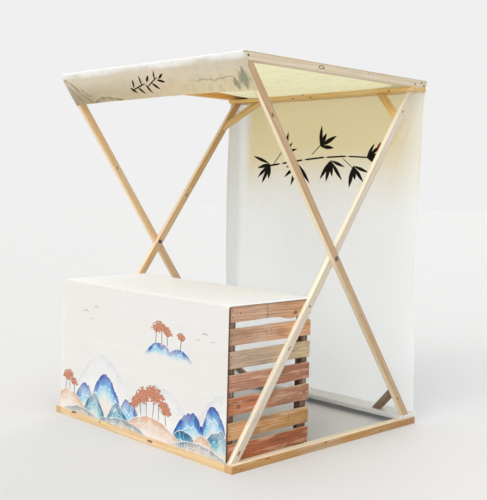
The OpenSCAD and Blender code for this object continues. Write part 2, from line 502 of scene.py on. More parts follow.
# The lower front corner of the top frame is planed off under the valance, from this height
NOSE_TOP = TOP_RAIL_Z + 0.031
NOSE_POINT = (0.0, -HALF_D + 0.0035, NOSE_TOP)
NOSE_OUT = (0.0, -0.952, -0.307)

# Early wood, late wood and the painted highlight colour for the palest face of each timber
COLOURS = {
    "base_rail": ((208, 162, 98), (150, 92, 46), (254, 244, 216)),
    "top_rail_right": ((238, 224, 200), (200, 172, 138), (246, 238, 220)),
    "top_rail_left": ((254, 206, 112), (232, 160, 66), (250, 222, 160)),
    "outer_leg_right": ((212, 182, 142), (162, 120, 80), (250, 236, 204)),
    "outer_leg_left": ((238, 206, 162), (202, 156, 106), (250, 228, 192)),
    "inner_leg_right": ((232, 222, 202), (194, 174, 152), (252, 246, 220)),
    "inner_leg_left": ((234, 200, 150), (186, 138, 88), (250, 232, 200)),
    "front_sill": ((232, 206, 158), (204, 158, 106), (252, 246, 226)),
    "rear_sill_board": ((240, 206, 160), (200, 148, 96), (250, 236, 206)),
    "front_cross_bar": ((224, 204, 172), (184, 154, 116), (240, 228, 204)),
    "rear_cross_board": ((252, 224, 150), (226, 174, 92), (252, 228, 166)),
    "top_brace": ((248, 218, 150), (214, 170, 98), (250, 228, 172)),
    # Painted shade: the foot braces are coloured dark for the shade that they stand in
    "foot_brace": ((146, 118, 92), (84, 60, 44), (196, 172, 142)),
}

# Knots in world metres, with half their length along the board, half their width and, where
# they don't go through the board, half their thickness
KNOTS = {
    "base_rail_right": ((0.75, -0.50, 0.030, 0.012, 0.004), (0.75, -0.06, 0.032, 0.010, 0.004),
                        (0.75, 0.42, 0.014, 0.009, 0.004)),
    "base_rail_left": ((-0.75, -0.2, 0.018, 0.010, 0.005), (-0.75, 0.35, 0.03, 0.010, 0.004)),
    "front_sill": ((-0.566, -0.75, 0.034, 0.020, 0.006), (-0.310, -0.75, 0.030, 0.008, 0.004),
                   (0.134, -0.75, 0.022, 0.022, 0.006)),
    "top_rail_right": ((0.75, -0.181, 1.978, 0.022, 0.0095),),
    "top_rail_left": ((-0.725, 0.1, 1.972, 0.010, 0.005),),
    "outer_leg_right": ((0.75, -0.533, 1.712, 0.012, 0.0065), (0.75, 0.570, 0.172, 0.009, 0.005),
                        (0.75, 0.21, 0.68, 0.008, 0.003)),
    "outer_leg_left": ((-0.75, -0.35, 1.46, 0.010, 0.004), (-0.75, 0.33, 0.52, 0.010, 0.005)),
    "inner_leg_right": ((0.725, 0.566, 1.811, 0.010, 0.004), (0.725, -0.679, 0.084, 0.014, 0.005),
                        (0.725, -0.337, 0.555, 0.013, 0.004)),
    "inner_leg_left": ((-0.725, 0.2, 1.3, 0.010, 0.004), (-0.725, -0.4, 0.47, 0.010, 0.005)),
    "rear_cross_board": ((-0.159, 0.612, 1.935, 0.010, 0.010, 0.006),
                         (-0.076, 0.612, 1.957, 0.010, 0.008, 0.007),
                         (-0.012, 0.612, 1.935, 0.010, 0.012, 0.005),
                         (0.591, 0.612, 1.937, 0.008, 0.008, 0.006)),
    "rear_sill_board": ((-0.3, 0.68, 0.062, 0.014, 0.006),),
    "foot_brace_right": ((0.62, 0.6, 0.1, 0.010, 0.005),),
}

# Short dark splits: (x, y, z, angle, half length, half width), and the belly of their strokes
SPLIT_BELLY = 4.0
SPLITS = {
    "top_rail_right": ((0.75, 0.205, 1.985, 84, 0.010, 0.0014),),
    "inner_leg_right": ((0.725, -0.560, 0.236, 4, 0.030, 0.0013),),
    "front_sill": ((-0.566, -0.75, 0.030, 20, 0.034, 0.0022),),
}


def timber(node, slot, along, across, seed, look=Z):
    """A sawn timber on the node's own solid, with eased edges and its own wood.

    Its palest face, which looks the way look says, carries a painted highlight.
    """
    bm, centre = board_of(node)
    board = (centre, along, across)
    if node.startswith(("top_rail", "front_cross")):
        everything = bm.verts[:] + bm.edges[:] + bm.faces[:]
        cut = bmesh.ops.bisect_plane(bm, geom=everything, plane_co=NOSE_POINT,
                                     plane_no=NOSE_OUT, clear_outer=True)
        rim = [e for e in cut["geom_cut"] if isinstance(e, bmesh.types.BMEdge)]
        bmesh.ops.contextual_create(bm, geom=rim)
    long_edges = [e for e in bm.edges if e.calc_length() > HOLE_EDGE and len(e.link_faces) == 2]
    sharp = [e for e in long_edges if e.calc_face_angle() > 0.5]
    bmesh.ops.bevel(bm, geom=sharp, offset=EASED, segments=2, profile=0.6, affect="EDGES")
    bmesh.ops.triangulate(bm, faces=[f for f in bm.faces if len(f.verts) > 4])
    store_grain(bm, *board)
    knots = []
    for x, y, z, *size in KNOTS.get(node, ()):
        long, wide, thick = (*size, 1.0)[:3]
        knots.append((*in_board((x, y, z), *board), long, wide, thick))
    splits = []
    for x, y, z, *mark in SPLITS.get(node, ()):
        splits.append((*in_board((x, y, z), *board)[:2], *mark, SPLIT_BELLY))
    stem = node.rsplit("_", 1)[0]
    early, late, light = COLOURS.get(node) or COLOURS[stem]
    ends = (0, 0, 1) if "leg" in node else tuple(along)
    wooden = wood("wood_" + node, early, late, seed, knots, ends=ends, painted_highlight=(light, tuple(look)),
                  splits=splits, hollow=node == "top_rail_right")
    add_piece(bm, node + "_dressed", [wooden], slot, node)


def make_timbers():
    """All the new timbers. Each one's seed chooses its own part of the wood."""
    seed = 11.0
    for stem, slot, along, across in (
        ("base_rail", "pine_yellow", Y, Z),
        ("top_rail", "pine_grey", Y, Z),
        ("outer_leg", "pine_tan", OUTER_UP, X.cross(OUTER_UP)),
        ("inner_leg", "pine_cream", INNER_UP, X.cross(INNER_UP)),
    ):
        for side, _ in SIDES:
            timber(f"{stem}_{side}", slot, along, across, seed, look=across)
            seed += 4.3
    timber("front_sill", "pine_pink", X, Z, 51.0)
    timber("rear_sill_board", "pine_pink", X, Y, 56.0)
    timber("front_cross_bar", "pine_grey", X, Y, 61.0)
    timber("rear_cross_board", "pine_yellow", X, Y, 67.0)
    # Each brace runs at 45 degrees between the rail's direction and its leg's
    for side, sign in SIDES:
        for stem, slot, line, leg in (
            ("top_brace", "pine_yellow", X * sign - INNER_UP, INNER_UP),
            ("foot_brace", "pine_brown", X * sign + OUTER_UP, OUTER_UP),
        ):
            along = line.normalized()
            across = X.cross(leg).normalized().cross(along)
            timber(f"{stem}_{side}", slot, along, across, seed)
            seed += 3.7


make_timbers()


# Reclaimed boards

# Step of the wood's place from one board to the next, of a point along a board, and the
# rounding of its corners
BOARD_SHIFT = 0.37
BOARD_STEP = 0.014
BOARD_ROUND = 0.003

# Front and rear colour of each wall slat from the top, its late wood, its knots (along,
# across, half length, half width) and its splits (along, across, angle, half length and width)
SLATS = (
    ((226, 186, 156), (230, 176, 128), (160, 116, 86), ((0.176, -0.026, 0.014, 0.008),),
     ((-0.03, 0.0, 90, 0.037, 0.0013), (-0.022, -0.012, 80, 0.012, 0.0012))),
    # Slat 2's rear colour is partly painted light, raised against the shade of the leg beside it
    ((214, 174, 144), (246, 184, 132), (158, 108, 78), (),
     ((-0.15, -0.004, 2, 0.03, 0.0012), (-0.06, 0.008, -3, 0.04, 0.0012),
      (-0.10, 0.0, 88, 0.022, 0.0011), (-0.03, -0.006, 92, 0.028, 0.0012),
      (0.0, 0.006, 87, 0.022, 0.0011))),
    ((208, 182, 158), (220, 198, 150), (154, 130, 104), (),
     ((0.187, 0.004, 3, 0.03, 0.0016), (-0.12, 0.012, -2, 0.06, 0.0011))),
    ((218, 162, 134), (182, 118, 90), (140, 86, 62), (), ((0.1, 0.01, 1, 0.07, 0.0011),)),
    ((214, 132, 86), (184, 132, 100), (130, 78, 54),
     ((-0.216, -0.004, 0.012, 0.008), (0.259, 0.004, 0.010, 0.008)),
     ((0.067, -0.026, 40, 0.014, 0.0022), (-0.1, 0.012, -2, 0.07, 0.0011))),
    ((238, 178, 122), (200, 154, 92), (146, 104, 58), (),
     ((0.143, 0.010, 88, 0.028, 0.0020), (-0.05, -0.01, 1, 0.06, 0.0011))),
    # Slat 7's rear colour is partly painted shade
    ((204, 118, 72), (172, 96, 50), (120, 62, 34), ((-0.109, -0.012, 0.008, 0.005),),
     ((0.1, 0.008, -1, 0.08, 0.0012),)),
)

# Bumps (place, reach, depth) on each wall's slats from the top: on the lower edge, then on the
# upper one. The top slats are narrower all along
WORN_END = ((0.44, 0.06, 0.014), (0.30, 0.1, -0.003))
WORN_MIDDLE = ((0.40, 0.1, 0.002),)
BUMPS = {
    "right": {
        0: (WORN_END, ((0.3, 9.0, -0.006),)),
        1: ((), ((0.1, 0.2, -0.002),)),
        3: (WORN_MIDDLE, ()),
        5: ((), ((0.30, 0.2, -0.002),)),
    },
    "left": {
        0: ((), ((0.3, 9.0, -0.024),)),
        3: (WORN_MIDDLE, ()),
        6: (WORN_END, ()),
    },
}


def slat_seed(index, sign):
    """Which part of the wood a side wall's slat shows."""
    return 3.0 + index * 2.3 + sign


def slat_look(index, front, rear, dark, knots, splits):
    """The wood of one slat, with its knots and splits where the right wall shows them."""
    raised = BOARD_SHIFT * slat_seed(index, 1)
    knots = [(a, b + raised, 0.0, long, wide, 1.0) for a, b, long, wide in knots]
    splits = [(a, b + raised, angle, long, wide, 6.0) for a, b, angle, long, wide in splits]
    pith = (0.02 + 0.01 * (index % 3), -0.025 - 0.008 * (index % 4))
    # The slats' upward faces carry a painted highlight
    return wood(f"wood_slat_{index + 1}", front, dark, 80.0 + 7 * index, knots, 0.4, rear, pith,
                painted_highlight=((236, 212, 174), (0, 0, 1)), splits=splits)


def rough_board(bm, box, along, across, out, look, seed, low=(), high=(), trim=(0, 0)):
    """One reclaimed board in a box, with worn corners and edges that wander.

    low and high are bumps (place, reach, depth) that move the lower and the upper edge
    outwards, and trim shortens the two ends.
    """
    length, width, thick = (abs(box[1].dot(way) - box[0].dot(way)) for way in (along, across, out))
    toward = along + across + out
    corner = Vector([box[0 if toward[k] > 0 else 1][k] for k in range(3)])
    grain = bm.verts.layers.float_vector["grain"]
    steps = max(8, int(length / BOARD_STEP))
    turn = BOARD_ROUND * 0.3
    sections = []
    for i in range(steps + 1):
        s = trim[0] + (length - trim[0] - trim[1]) * i / steps
        below = ripple(0.0014, s * 9, seed, 0.3)
        above = ripple(0.0014, s * 8, seed, 5.1)
        below += sum(depth * near(s, place, reach) for place, reach, depth in low)
        above += sum(depth * near(s, place, reach) for place, reach, depth in high)
        r = BOARD_ROUND * (1 + ripple(0.5, s * 30, seed, 2.2))
        a0, a1 = -below, width + above
        b0, b1 = 0.0, thick + ripple(0.0006, s * 5, seed, 9.7)
        outline = (
            (a0 + r, b0), (a0 + turn, b0 + turn), (a0, b0 + r),
            (a0, b1 - r), (a0 + turn, b1 - turn), (a0 + r, b1),
            (a1 - r, b1), (a1 - turn, b1 - turn), (a1, b1 - r),
            (a1, b0 + r), (a1 - turn, b0 + turn), (a1 - r, b0),
        )
        ring = []
        for a, b in outline:
            vertex = bm.verts.new(corner + along * s + across * a + out * b)
            vertex[grain] = (s - length / 2, a - width / 2 + seed * BOARD_SHIFT, b)
            ring.append(vertex)
        sections.append(ring)
    ends = [bm.faces.new(sections[0][::-1]), bm.faces.new(sections[-1])]
    for face in join_rings(bm, sections) + ends:
        face.material_index = look


def solids_of(node):
    """(low, high) of each separate solid of a node, sorted by height and then across."""
    bm = solid_of(node)
    parts = []
    for face in bm.faces:
        part = set(face.verts).union(*(p for p in parts if p & set(face.verts)))
        parts = [p for p in parts if not p & part] + [part]
    boxes = []
    for part in parts:
        low = Vector([min(v.co[k] for v in part) for k in range(3)])
        high = Vector([max(v.co[k] for v in part) for k in range(3)])
        boxes.append((low, high))
    bm.free()
    return sorted(boxes, key=lambda b: (-round(b[0].z, 4), b[0].x))


def boards(name, node, looks, board, *where):
    """One piece of a node's boards. board(index, *where) gives how each one is made."""
    bm = bmesh.new()
    bm.verts.layers.float_vector.new("grain")
    for index, box in enumerate(solids_of(node)):
        rough_board(bm, box, *board(index, *where))
    add_piece(bm, name, looks, "reclaimed_board", node, smooth_under=0.9)


def side_board(index, side, sign):
    """How a slat of a side wall is made, with ends that aren't quite in line."""
    jitter = ripple(1.0, index * 3.1, sign, 0.5)
    trim = (0.0165 + 0.004 * jitter, 0.002 + 0.002 * jitter)
    look = index if sign > 0 else (index * 3 + 2) % 7
    low, high = BUMPS[side].get(index, ((), ()))
    return Y, Z, X * sign, look, slat_seed(index, sign), low, high, trim


def front_board(index):
    return X, Z, -Y, 0, 31.0 + index * 1.9


def top_board(index):
    return Y, -X, Z, (index * 5 + 3) % 7, 61.0 + index * 1.3


def plain_timber(node, along, across):
    """A reclaimed timber on its own solid: a post or a rail of the counter, in dark wood that is
    painted shade.
    """
    bm, centre = board_of(node)
    bmesh.ops.bevel(bm, geom=bm.edges[:], offset=EASED * 1.4, segments=2, affect="EDGES")
    store_grain(bm, centre, along, across)
    add_piece(bm, node + "_dressed", [shaded_post_look], "reclaimed_board", node)


slat_looks = [slat_look(index, *slat) for index, slat in enumerate(SLATS)]
# Painted shade: the counter's front wall, posts and rails take dark wood for the shade seen
# between the slats
shaded_wall_look = wood("wood_front_wall_shaded", (112, 86, 70), (70, 50, 40), 150.0, (), 0.4, ends=(1, 0, 0))
shaded_post_look = wood("wood_post_shaded", (126, 94, 76), (74, 52, 42), 140.0, (), 0.5, ends=(0, 0, 1))

for side, sign in SIDES:
    boards(f"slats_{side}", f"counter_slats_{side}", slat_looks, side_board, side, sign)
boards("slats_front", "counter_slats_front", [shaded_wall_look], front_board)
boards("top_boards", "counter_top_boards", slat_looks, top_board)

for side in ("left", "right"):
    plain_timber(f"counter_post_front_{side}", Z, X)
    plain_timber(f"counter_post_rear_{side}", Z, X)
    plain_timber(f"counter_side_rail_{side}", Y, Z)
plain_timber("counter_front_rail", X, Z)
plain_timber("counter_rear_rail", X, Z)


# Fixings, whose profiles are radius and height

bolt_steel = steel("steel_bolt", (128, 126, 122), 0.34)
nail_steel = steel("steel_nail", (74, 66, 60), 0.6, 0.5)

BOLT_RIM = ((0.0, 0.0), (0.0135, 0.0), (0.0138, 0.0006), (0.0135, 0.0014), (0.0116, 0.0016))
# The dome over the rim: its radius, foot and rise, its steps in degrees and its top
DOME_RADIUS, DOME_FOOT, DOME_RISE = 0.0118, 0.0014, 0.0036
DOME_STEPS = (78, 65, 52, 39, 26, 13)
DOME_TOP = 0.005
# The bolt's end beyond the nut: crest and root of its thread, and the step between turns
THREAD_CREST, THREAD_ROOT, THREAD_STEP = 0.0050, 0.0044, 0.0006
WASHER_THICK = 0.002
WASHER = ((0.0, 0.0), (0.0128, 0.0), (0.013, 0.0005), (0.0128, WASHER_THICK), (0.0, WASHER_THICK))
NUT_THICK = 0.008
NUT = ((0.0, 0.0), (0.0088, 0.0), (0.0095, 0.0008), (0.0095, 0.0072), (0.0086, NUT_THICK),
       (0.0, NUT_THICK))
SHANK = ((0.0, -0.001), (0.005, -0.001), (0.005, 0.051), (0.0, 0.051))
NAIL_HEAD = ((0.0, -0.002), (0.0022, -0.002), (0.0032, 0.0004), (0.0028, 0.0009), (0.0, 0.0011))
SCREW_HEAD = ((0.0, -0.002), (0.0048, -0.002), (0.0056, 0.0003), (0.0052, 0.0008),
              (0.0024, 0.0009), (0.0018, 0.0002), (0.0, 0.0002))


def lathe(bm, place, axis, profile, sides):
    """Turns a profile about the axis through place."""
    start = axis.orthogonal().normalized()
    other = axis.cross(start)
    rings = []
    for radius, height in profile:
        ring = []
        for i in range(sides if radius else 1):
            angle = 2 * math.pi * i / sides
            turned = start * math.cos(angle) + other * math.sin(angle)
            ring.append(bm.verts.new(place + axis * height + turned * radius))
        rings.append(ring)
    join_rings(bm, rings)


def cross_bolt(side, sign):
    """The bolt at a side's crossing: domed head outside; washer, nut and thread inside."""
    low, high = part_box(f"cross_bolt_{side}")
    y, z = (low.y + high.y) / 2, (low.z + high.z) / 2
    out = X * sign
    inside = Vector((sign * INNER_X, y, z))
    dome = list(BOLT_RIM)
    for angle in map(math.radians, DOME_STEPS):
        dome.append((DOME_RADIUS * math.sin(angle), DOME_FOOT + DOME_RISE * math.cos(angle)))
    dome.append((0.0, DOME_TOP))
    thread = [(0.0, 0.0)]
    for i in range(4):
        thread.append((THREAD_CREST, THREAD_STEP * i + 0.0001))
        thread.append((THREAD_ROOT, THREAD_STEP * i + 0.0004))
    thread.append((0.0, THREAD_STEP * 4))
    bm = bmesh.new()
    lathe(bm, Vector((sign * HALF_W, y, z)), out, dome, 32)
    lathe(bm, inside, -out, WASHER, 32)
    lathe(bm, inside - out * WASHER_THICK, -out, NUT, 6)
    lathe(bm, inside - out * (WASHER_THICK + NUT_THICK), -out, thread, 20)
    lathe(bm, inside, out, SHANK, 20)
    add_piece(bm, f"bolt_{side}", [bolt_steel], "bolt_steel", f"cross_bolt_{side}",
              smooth_under=0.5)


def heads(name, places, profile, sides):
    """One piece of many heads, each at its place and turned outwards."""
    bm = bmesh.new()
    for place, out in places:
        lathe(bm, Vector(place), out, profile, sides)
    add_piece(bm, name, [nail_steel], "bolt_steel", smooth_under=0.7)


for side, sign in SIDES:
    cross_bolt(side, sign)

# Nails hold each slat to two posts, at two shares of its height, up to these ways off their
# places along it and up it. The other nails and the screws are at (y, z)
POST_ROWS = (-0.722, -0.172)
NAIL_SHARES = (0.28, 0.7)
OFF_ALONG, OFF_UP = 0.008, 0.006
FOOT_NAILS = ((-0.722, 0.022), (-0.690, 0.014), (0.708, 0.02), (0.733, 0.012))
TOP_SLAT_NAILS = ((-0.667, 0.757), (-0.478, 0.785), (-0.480, 0.768), (-0.477, 0.735),
                  (-0.479, 0.722))
TOP_SCREWS = ((-0.708, 1.979), (0.640, 1.972), (0.706, 1.984), (0.728, 1.968))
LEG_SCREW = (-0.190, 0.757)
nails = []
screws = []
for _, sign in SIDES:
    out = X * sign
    for index, (low, high) in enumerate(solids_of("counter_slats_right")):
        for y in POST_ROWS:
            for share in NAIL_SHARES:
                wander = ripple(1.0, index * 5.3 + share * 9, y * 7, sign * 2.0)
                height = low.z + (high.z - low.z) * share + OFF_UP * wander
                nails.append(((sign * INNER_X, y + OFF_ALONG * wander, height), out))
    nails += [((sign * HALF_W, y, z), out) for y, z in FOOT_NAILS]
    screws += [((sign * HALF_W, y, z), out) for y, z in TOP_SCREWS]
    screws.append(((sign * LEG_JOINT_X, *LEG_SCREW), out))
nails += [((INNER_X, y, z), X) for y, z in TOP_SLAT_NAILS]
heads("nail_heads", nails, NAIL_HEAD, 12)
heads("screw_heads", screws, SCREW_HEAD, 16)


# Canvas

# Thickness of the canvas, width of its hems, and half the width of the sheets over the frame
CLOTH = 0.0012
HEM = 0.018
CLOTH_HALF = HALF_W + 0.0004
# Angle between the points of an arc
ARC_STEP = 0.22
# How much of a print shows on the cloth's other side
GHOST = 0.12


def rounded_path(corners, radii, step):
    """Points (y, z) along straight runs whose inner corners are turned with these radii."""
    points = [Vector(corners[0])]
    for i in range(1, len(corners) - 1):
        here = Vector(corners[i])
        back = (Vector(corners[i - 1]) - here).normalized()
        ahead = (Vector(corners[i + 1]) - here).normalized()
        half = back.angle(ahead) / 2
        reach = radii[i - 1] / math.tan(half)
        middle = here + (back + ahead).normalized() * radii[i - 1] / math.sin(half)
        first, last = here + back * reach, here + ahead * reach
        turn = -(first - middle).angle_signed(last - middle)
        pieces = max(2, int(abs(turn) / ARC_STEP))
        for k in range(pieces + 1):
            turned = Matrix.Rotation(turn * k / pieces, 2) @ (first - middle)
            points.append(middle + turned)
    points.append(Vector(corners[-1]))
    path = [points[0]]
    for point in points[1:]:
        start = path[-1]
        pieces = max(1, round((point - start).length / step))
        for k in range(1, pieces + 1):
            path.append(start.lerp(point, k / pieces))
    return path


def walk(path):
    """Each point of a path with its direction, its outward normal and the length up to it."""
    steps = []
    length = 0.0
    for i, point in enumerate(path):
        before, after = path[max(0, i - 1)], path[min(len(path) - 1, i + 1)]
        if i:
            length += (point - before).length
        tangent = (after - before).normalized()
        steps.append((point, tangent, Vector((tangent.y, -tangent.x)), length))
    return steps


def sheet_piece(name, rows, look, slot, *nodes):
    """A closed thin sheet from rows of (outer point, inner point, (across, down, edge))."""
    bm = bmesh.new()
    flat = bm.verts.layers.float_vector.new("cloth")
    made = []
    for row in rows:
        pairs = []
        for outer, inner, place in row:
            pair = (bm.verts.new(outer), bm.verts.new(inner))
            pair[0][flat] = place
            pair[1][flat] = place
            pairs.append(pair)
        made.append(pairs)
    for first, second in zip(made, made[1:]):
        for j in range(len(first) - 1):
            a, b, c, d = first[j], first[j + 1], second[j + 1], second[j]
            bm.faces.new((a[0], b[0], c[0], d[0]))
            bm.faces.new((a[1], d[1], c[1], b[1]))
        bm.faces.new((first[0][0], second[0][0], second[0][1], first[0][1]))
        bm.faces.new((first[-1][0], first[-1][1], second[-1][1], second[-1][0]))
    for row in (made[0], made[-1]):
        for j in range(len(row) - 1):
            bm.faces.new((row[j][0], row[j][1], row[j + 1][1], row[j + 1][0]))
    return add_piece(bm, name, [look], slot, *nodes, smooth_under=1.2)


def across_places(half, step):
    """Places from -half to half, with close pairs at the hems' inner edges."""
    inner = half - HEM - 0.002
    count = int(2 * inner / step)
    places = [-inner + 2 * inner * i / count for i in range(count + 1)]
    side = [half - HEM + 0.001, half - HEM * 0.5, half - 0.001, half]
    return [-p for p in reversed(side)] + places + side


def swept_cloth(path, step, shape, turned):
    """Rows of a sheet swept along X over a path in the YZ plane.

    shape(x, t) gives how far the cloth stands off along its normal and how far it slides along
    the path. turned(t) is how far the side edges are turned down round the frame's sides.
    """
    folded = [(CLOTH_HALF, share) for share in (0.02, 0.35, 0.7, 1.0)]
    columns = [(-x, share) for x, share in reversed(folded)]
    columns += [(x, 0.0) for x in across_places(CLOTH_HALF, step)] + folded
    steps = walk(path)
    total = steps[-1][-1]
    rows = []
    for point, tangent, normal, t in steps:
        fold = turned(t)
        row = []
        for x, share in columns:
            lift, slide = shape(x, t)
            edge = min(CLOTH_HALF - abs(x) + fold * (1 - share), t, total - t)
            hem = CLOTH if edge < HEM else 0.0
            side = math.copysign(1, x)
            if share:
                middle = point + tangent * slide - normal * (fold * share)
                outer = Vector((x + side * (CLOTH + hem), *middle))
                inner = Vector((x + side * 0.0003, *middle))
            else:
                outer = Vector((x, *(point + tangent * slide + normal * (lift + hem))))
                inner = Vector((x, *(point + tangent * slide + normal * (lift - CLOTH))))
            row.append((outer, inner, (x + side * fold * share, t, edge)))
        rows.append(row)
    return rows


# The roof canvas runs from the rear edge to the front and down to the valance's hem

FRONT_Y = -HALF_D + 0.0015
ROOF_CORNERS = (
    (HALF_D - 0.006, TOP - CLOTH),
    (FRONT_Y, TOP - CLOTH),
    (FRONT_Y, NOSE_TOP),
    (-HALF_D + 0.0122, TOP_RAIL_Z),
    (VALANCE_REAR - 0.0015, VALANCE_END),
)
# Lengths of the canvas over the roof, down the front of the top frame and in all of the valance
ROOF_RUN = 2 * HALF_D
NOSE_RUN = 0.04
VALANCE_RUN = 0.215
# How far it sags in the roof's middle and at its rear edge, and how far the valance's hem is
# raised at its ends and at its middle
ROOF_SAG, REAR_SAG = 0.007, 0.0385
HEM_ENDS, HEM_MIDDLE = 0.008, 0.020

# Folds across the valance: points (x, height) that each runs through, its depth and width
FOLDS = (
    (((-0.745, 1.966), (-0.692, 1.955), (-0.62, 1.885), (-0.551, 1.822)), 0.009, 0.011),
    (((-0.62, 1.912), (-0.59, 1.888), (-0.562, 1.866)), 0.006, 0.010),
    (((-0.56, 1.828), (-0.48, 1.852), (-0.418, 1.856), (-0.35, 1.846), (-0.27, 1.834)),
     0.007, 0.012),
    (((-0.735, 1.935), (-0.69, 1.885), (-0.655, 1.835)), 0.005, 0.011),
    (((-0.30, 1.862), (-0.10, 1.872), (0.06, 1.868)), 0.002, 0.012),
    (((0.50, 1.905), (0.62, 1.89), (0.70, 1.862)), 0.003, 0.012),
)
# Of these, the first ones get painted shade just below them
SHADED_FOLDS = 4


def fold_depth(x, z):
    """Sum of the folds at a point of the valance."""
    total = 0.0
    for points, depth, width in FOLDS:
        for (x0, z0), (x1, z1) in zip(points, points[1:]):
            if x0 <= x <= x1:
                line = z0 + (z1 - z0) * (x - x0) / (x1 - x0)
                run = (x - points[0][0]) / (points[-1][0] - points[0][0])
                fade = min(1.0, 5 * run, 5 * (1 - run))
                across = (z - line) / math.hypot(1.0, (z1 - z0) / (x1 - x0))
                total += depth * fade * near(across, 0.0, width)
                break
    return total


def rear_sag(x):
    """How far the canvas hangs through at the rear, where it lies on the cross board."""
    return REAR_SAG * (1 - min(1.0, abs(x) / INNER_X) ** 9)


def roof_shape(x, t):
    """The roof's sag between the rails, and then the valance's swell, folds and raised hem."""
    free = 1 - ease(abs(x), INNER_X - 0.04, INNER_X)
    if t < ROOF_RUN - 0.05:
        from_front = min(1.0, (ROOF_RUN - t) / 0.25)
        from_rear = min(1.0, t / 0.35)
        bow = 1 - min(1.0, (x / 0.72) ** 2)
        sag = -ROOF_SAG * bow * from_front * from_rear - rear_sag(x) * (1 - ease(t, 0.12, 0.50))
        sag += free * ripple(0.0022, x * 3.1, t * 2.3, 1.0) * from_front * from_rear
        sag += free * ripple(0.0008, x * 9.0, t * 3.0, 4.0) * from_front * from_rear
        return sag, 0.0
    down = max(0.0, t - ROOF_RUN)
    height = TOP - min(down, NOSE_RUN) - max(0.0, down - NOSE_RUN) * math.cos(LEG_ANGLE)
    fall = ease(down, 0.02, 0.07)
    swell = free * fall * (0.002 + ripple(0.004, x * 5.0, t * 6.0, 7.0))
    swell += fall * (0.4 if abs(x) > INNER_X else 1.0) * ripple(0.0014, x * 16.0, t * 14.0, 9.0)
    middle = max(0.0, 1 - (x / HALF_W) ** 4)
    rise = HEM_ENDS + (HEM_MIDDLE - HEM_ENDS) * middle
    slide = -rise * min(1.0, down / VALANCE_RUN) ** 2
    return swell + fold_depth(x, height) * ease(down, 0.01, 0.03), slide


def roof_turned(t):
    """The canvas is pulled round the front ends of the top rails."""
    return 0.0015 + 0.0185 * ease(t, ROOF_RUN - 0.02, ROOF_RUN + 0.004) * (
        1 - ease(t, ROOF_RUN + 0.046, ROOF_RUN + 0.075))


# A spray of leaves, and reeds in a soft wash at the right end, as strokes
VALANCE_SPRAY = (
    (-0.10, 1.885, 12, 0.075, 0.0035, 4.0), (0.03, 1.902, 20, 0.07, 0.003, 4.0),
    (-0.15, 1.872, 150, 0.030, 0.008, 2.0), (-0.13, 1.903, 60, 0.026, 0.007, 2.0),
    (-0.085, 1.868, -40, 0.028, 0.008, 2.0), (-0.06, 1.915, 75, 0.028, 0.007, 2.0),
    (-0.02, 1.872, -55, 0.030, 0.008, 2.0), (0.005, 1.92, 35, 0.028, 0.007, 2.0),
    (0.045, 1.882, -35, 0.030, 0.008, 2.0), (0.07, 1.933, 62, 0.026, 0.006, 2.0),
    (0.105, 1.903, -12, 0.034, 0.007, 2.0), (0.12, 1.925, 24, 0.030, 0.006, 2.0),
)
REEDS = ((0.70, 1.878, 80, 0.062, 0.058, 1.8), (0.64, 1.858, 100, 0.040, 0.036, 1.8))


def painted_underside_glow(sh, x, y):
    """The underside's colour: painted yellow as the glow of light through the canvas, and lightly
    streaked across.
    """
    smear = sh.noise((x * 2.0, y * 26.0, 1.0), 1.0, 4.0, 0.6)
    under = sh.mix(smear.fade(0.52, 0.70, 0.0, 0.35), (250, 231, 170), (206, 184, 126))
    dash = sh.noise((x * 17.0, y * 90.0, 6.0), 1.0, 3.0)
    return sh.mix(dash.fade(0.62, 0.70, 0.0, 0.65), under, (160, 148, 106))


def valance_face(sh, x, z, mottle):
    """Lighter over the rail, and below it turning to a deep beige that is darker towards the left.
    """
    faded = sh.noise((x * 3.0, z * 9.0, 5.0), 1.0, 4.0, 0.6)
    level = faded.scaled(0.07, z - 0.035)
    deep = sh.mix(x.fade(-0.55, 0.7), (188, 172, 141), (220, 203, 165))
    deep = sh.mix(mottle.fade(0.45, 0.68, 0.0, 0.35), deep, (170, 152, 124))
    deep = sh.mix(mottle.scaled(0.5, x).fade(-0.10, -0.50, 0.0, 0.7), deep, (152, 138, 112))
    face = sh.mix(level.fade(1.960, 1.85), (219, 207, 184), deep)
    face = sh.mix(abs(x - 0.12).fade(0.26, 0.05, 0.0, 0.3), face, (232, 202, 178))
    face = sh.mix(level.fade(1.958, 1.984), face, (247, 246, 243))
    return sh.mix(mottle.fade(0.5, 0.66, 0.0, 0.22), face, (190, 186, 176))


def fold_marks(points):
    """Strokes just below the runs of a fold, for its painted shade."""
    marks = []
    for (x0, z0), (x1, z1) in zip(points, points[1:]):
        angle = math.degrees(math.atan2(z1 - z0, x1 - x0))
        long = math.hypot(x1 - x0, z1 - z0) * 0.56
        marks.append(((x0 + x1) / 2, (z0 + z1) / 2 - 0.007, angle, long, 0.013, 4.0))
    return marks


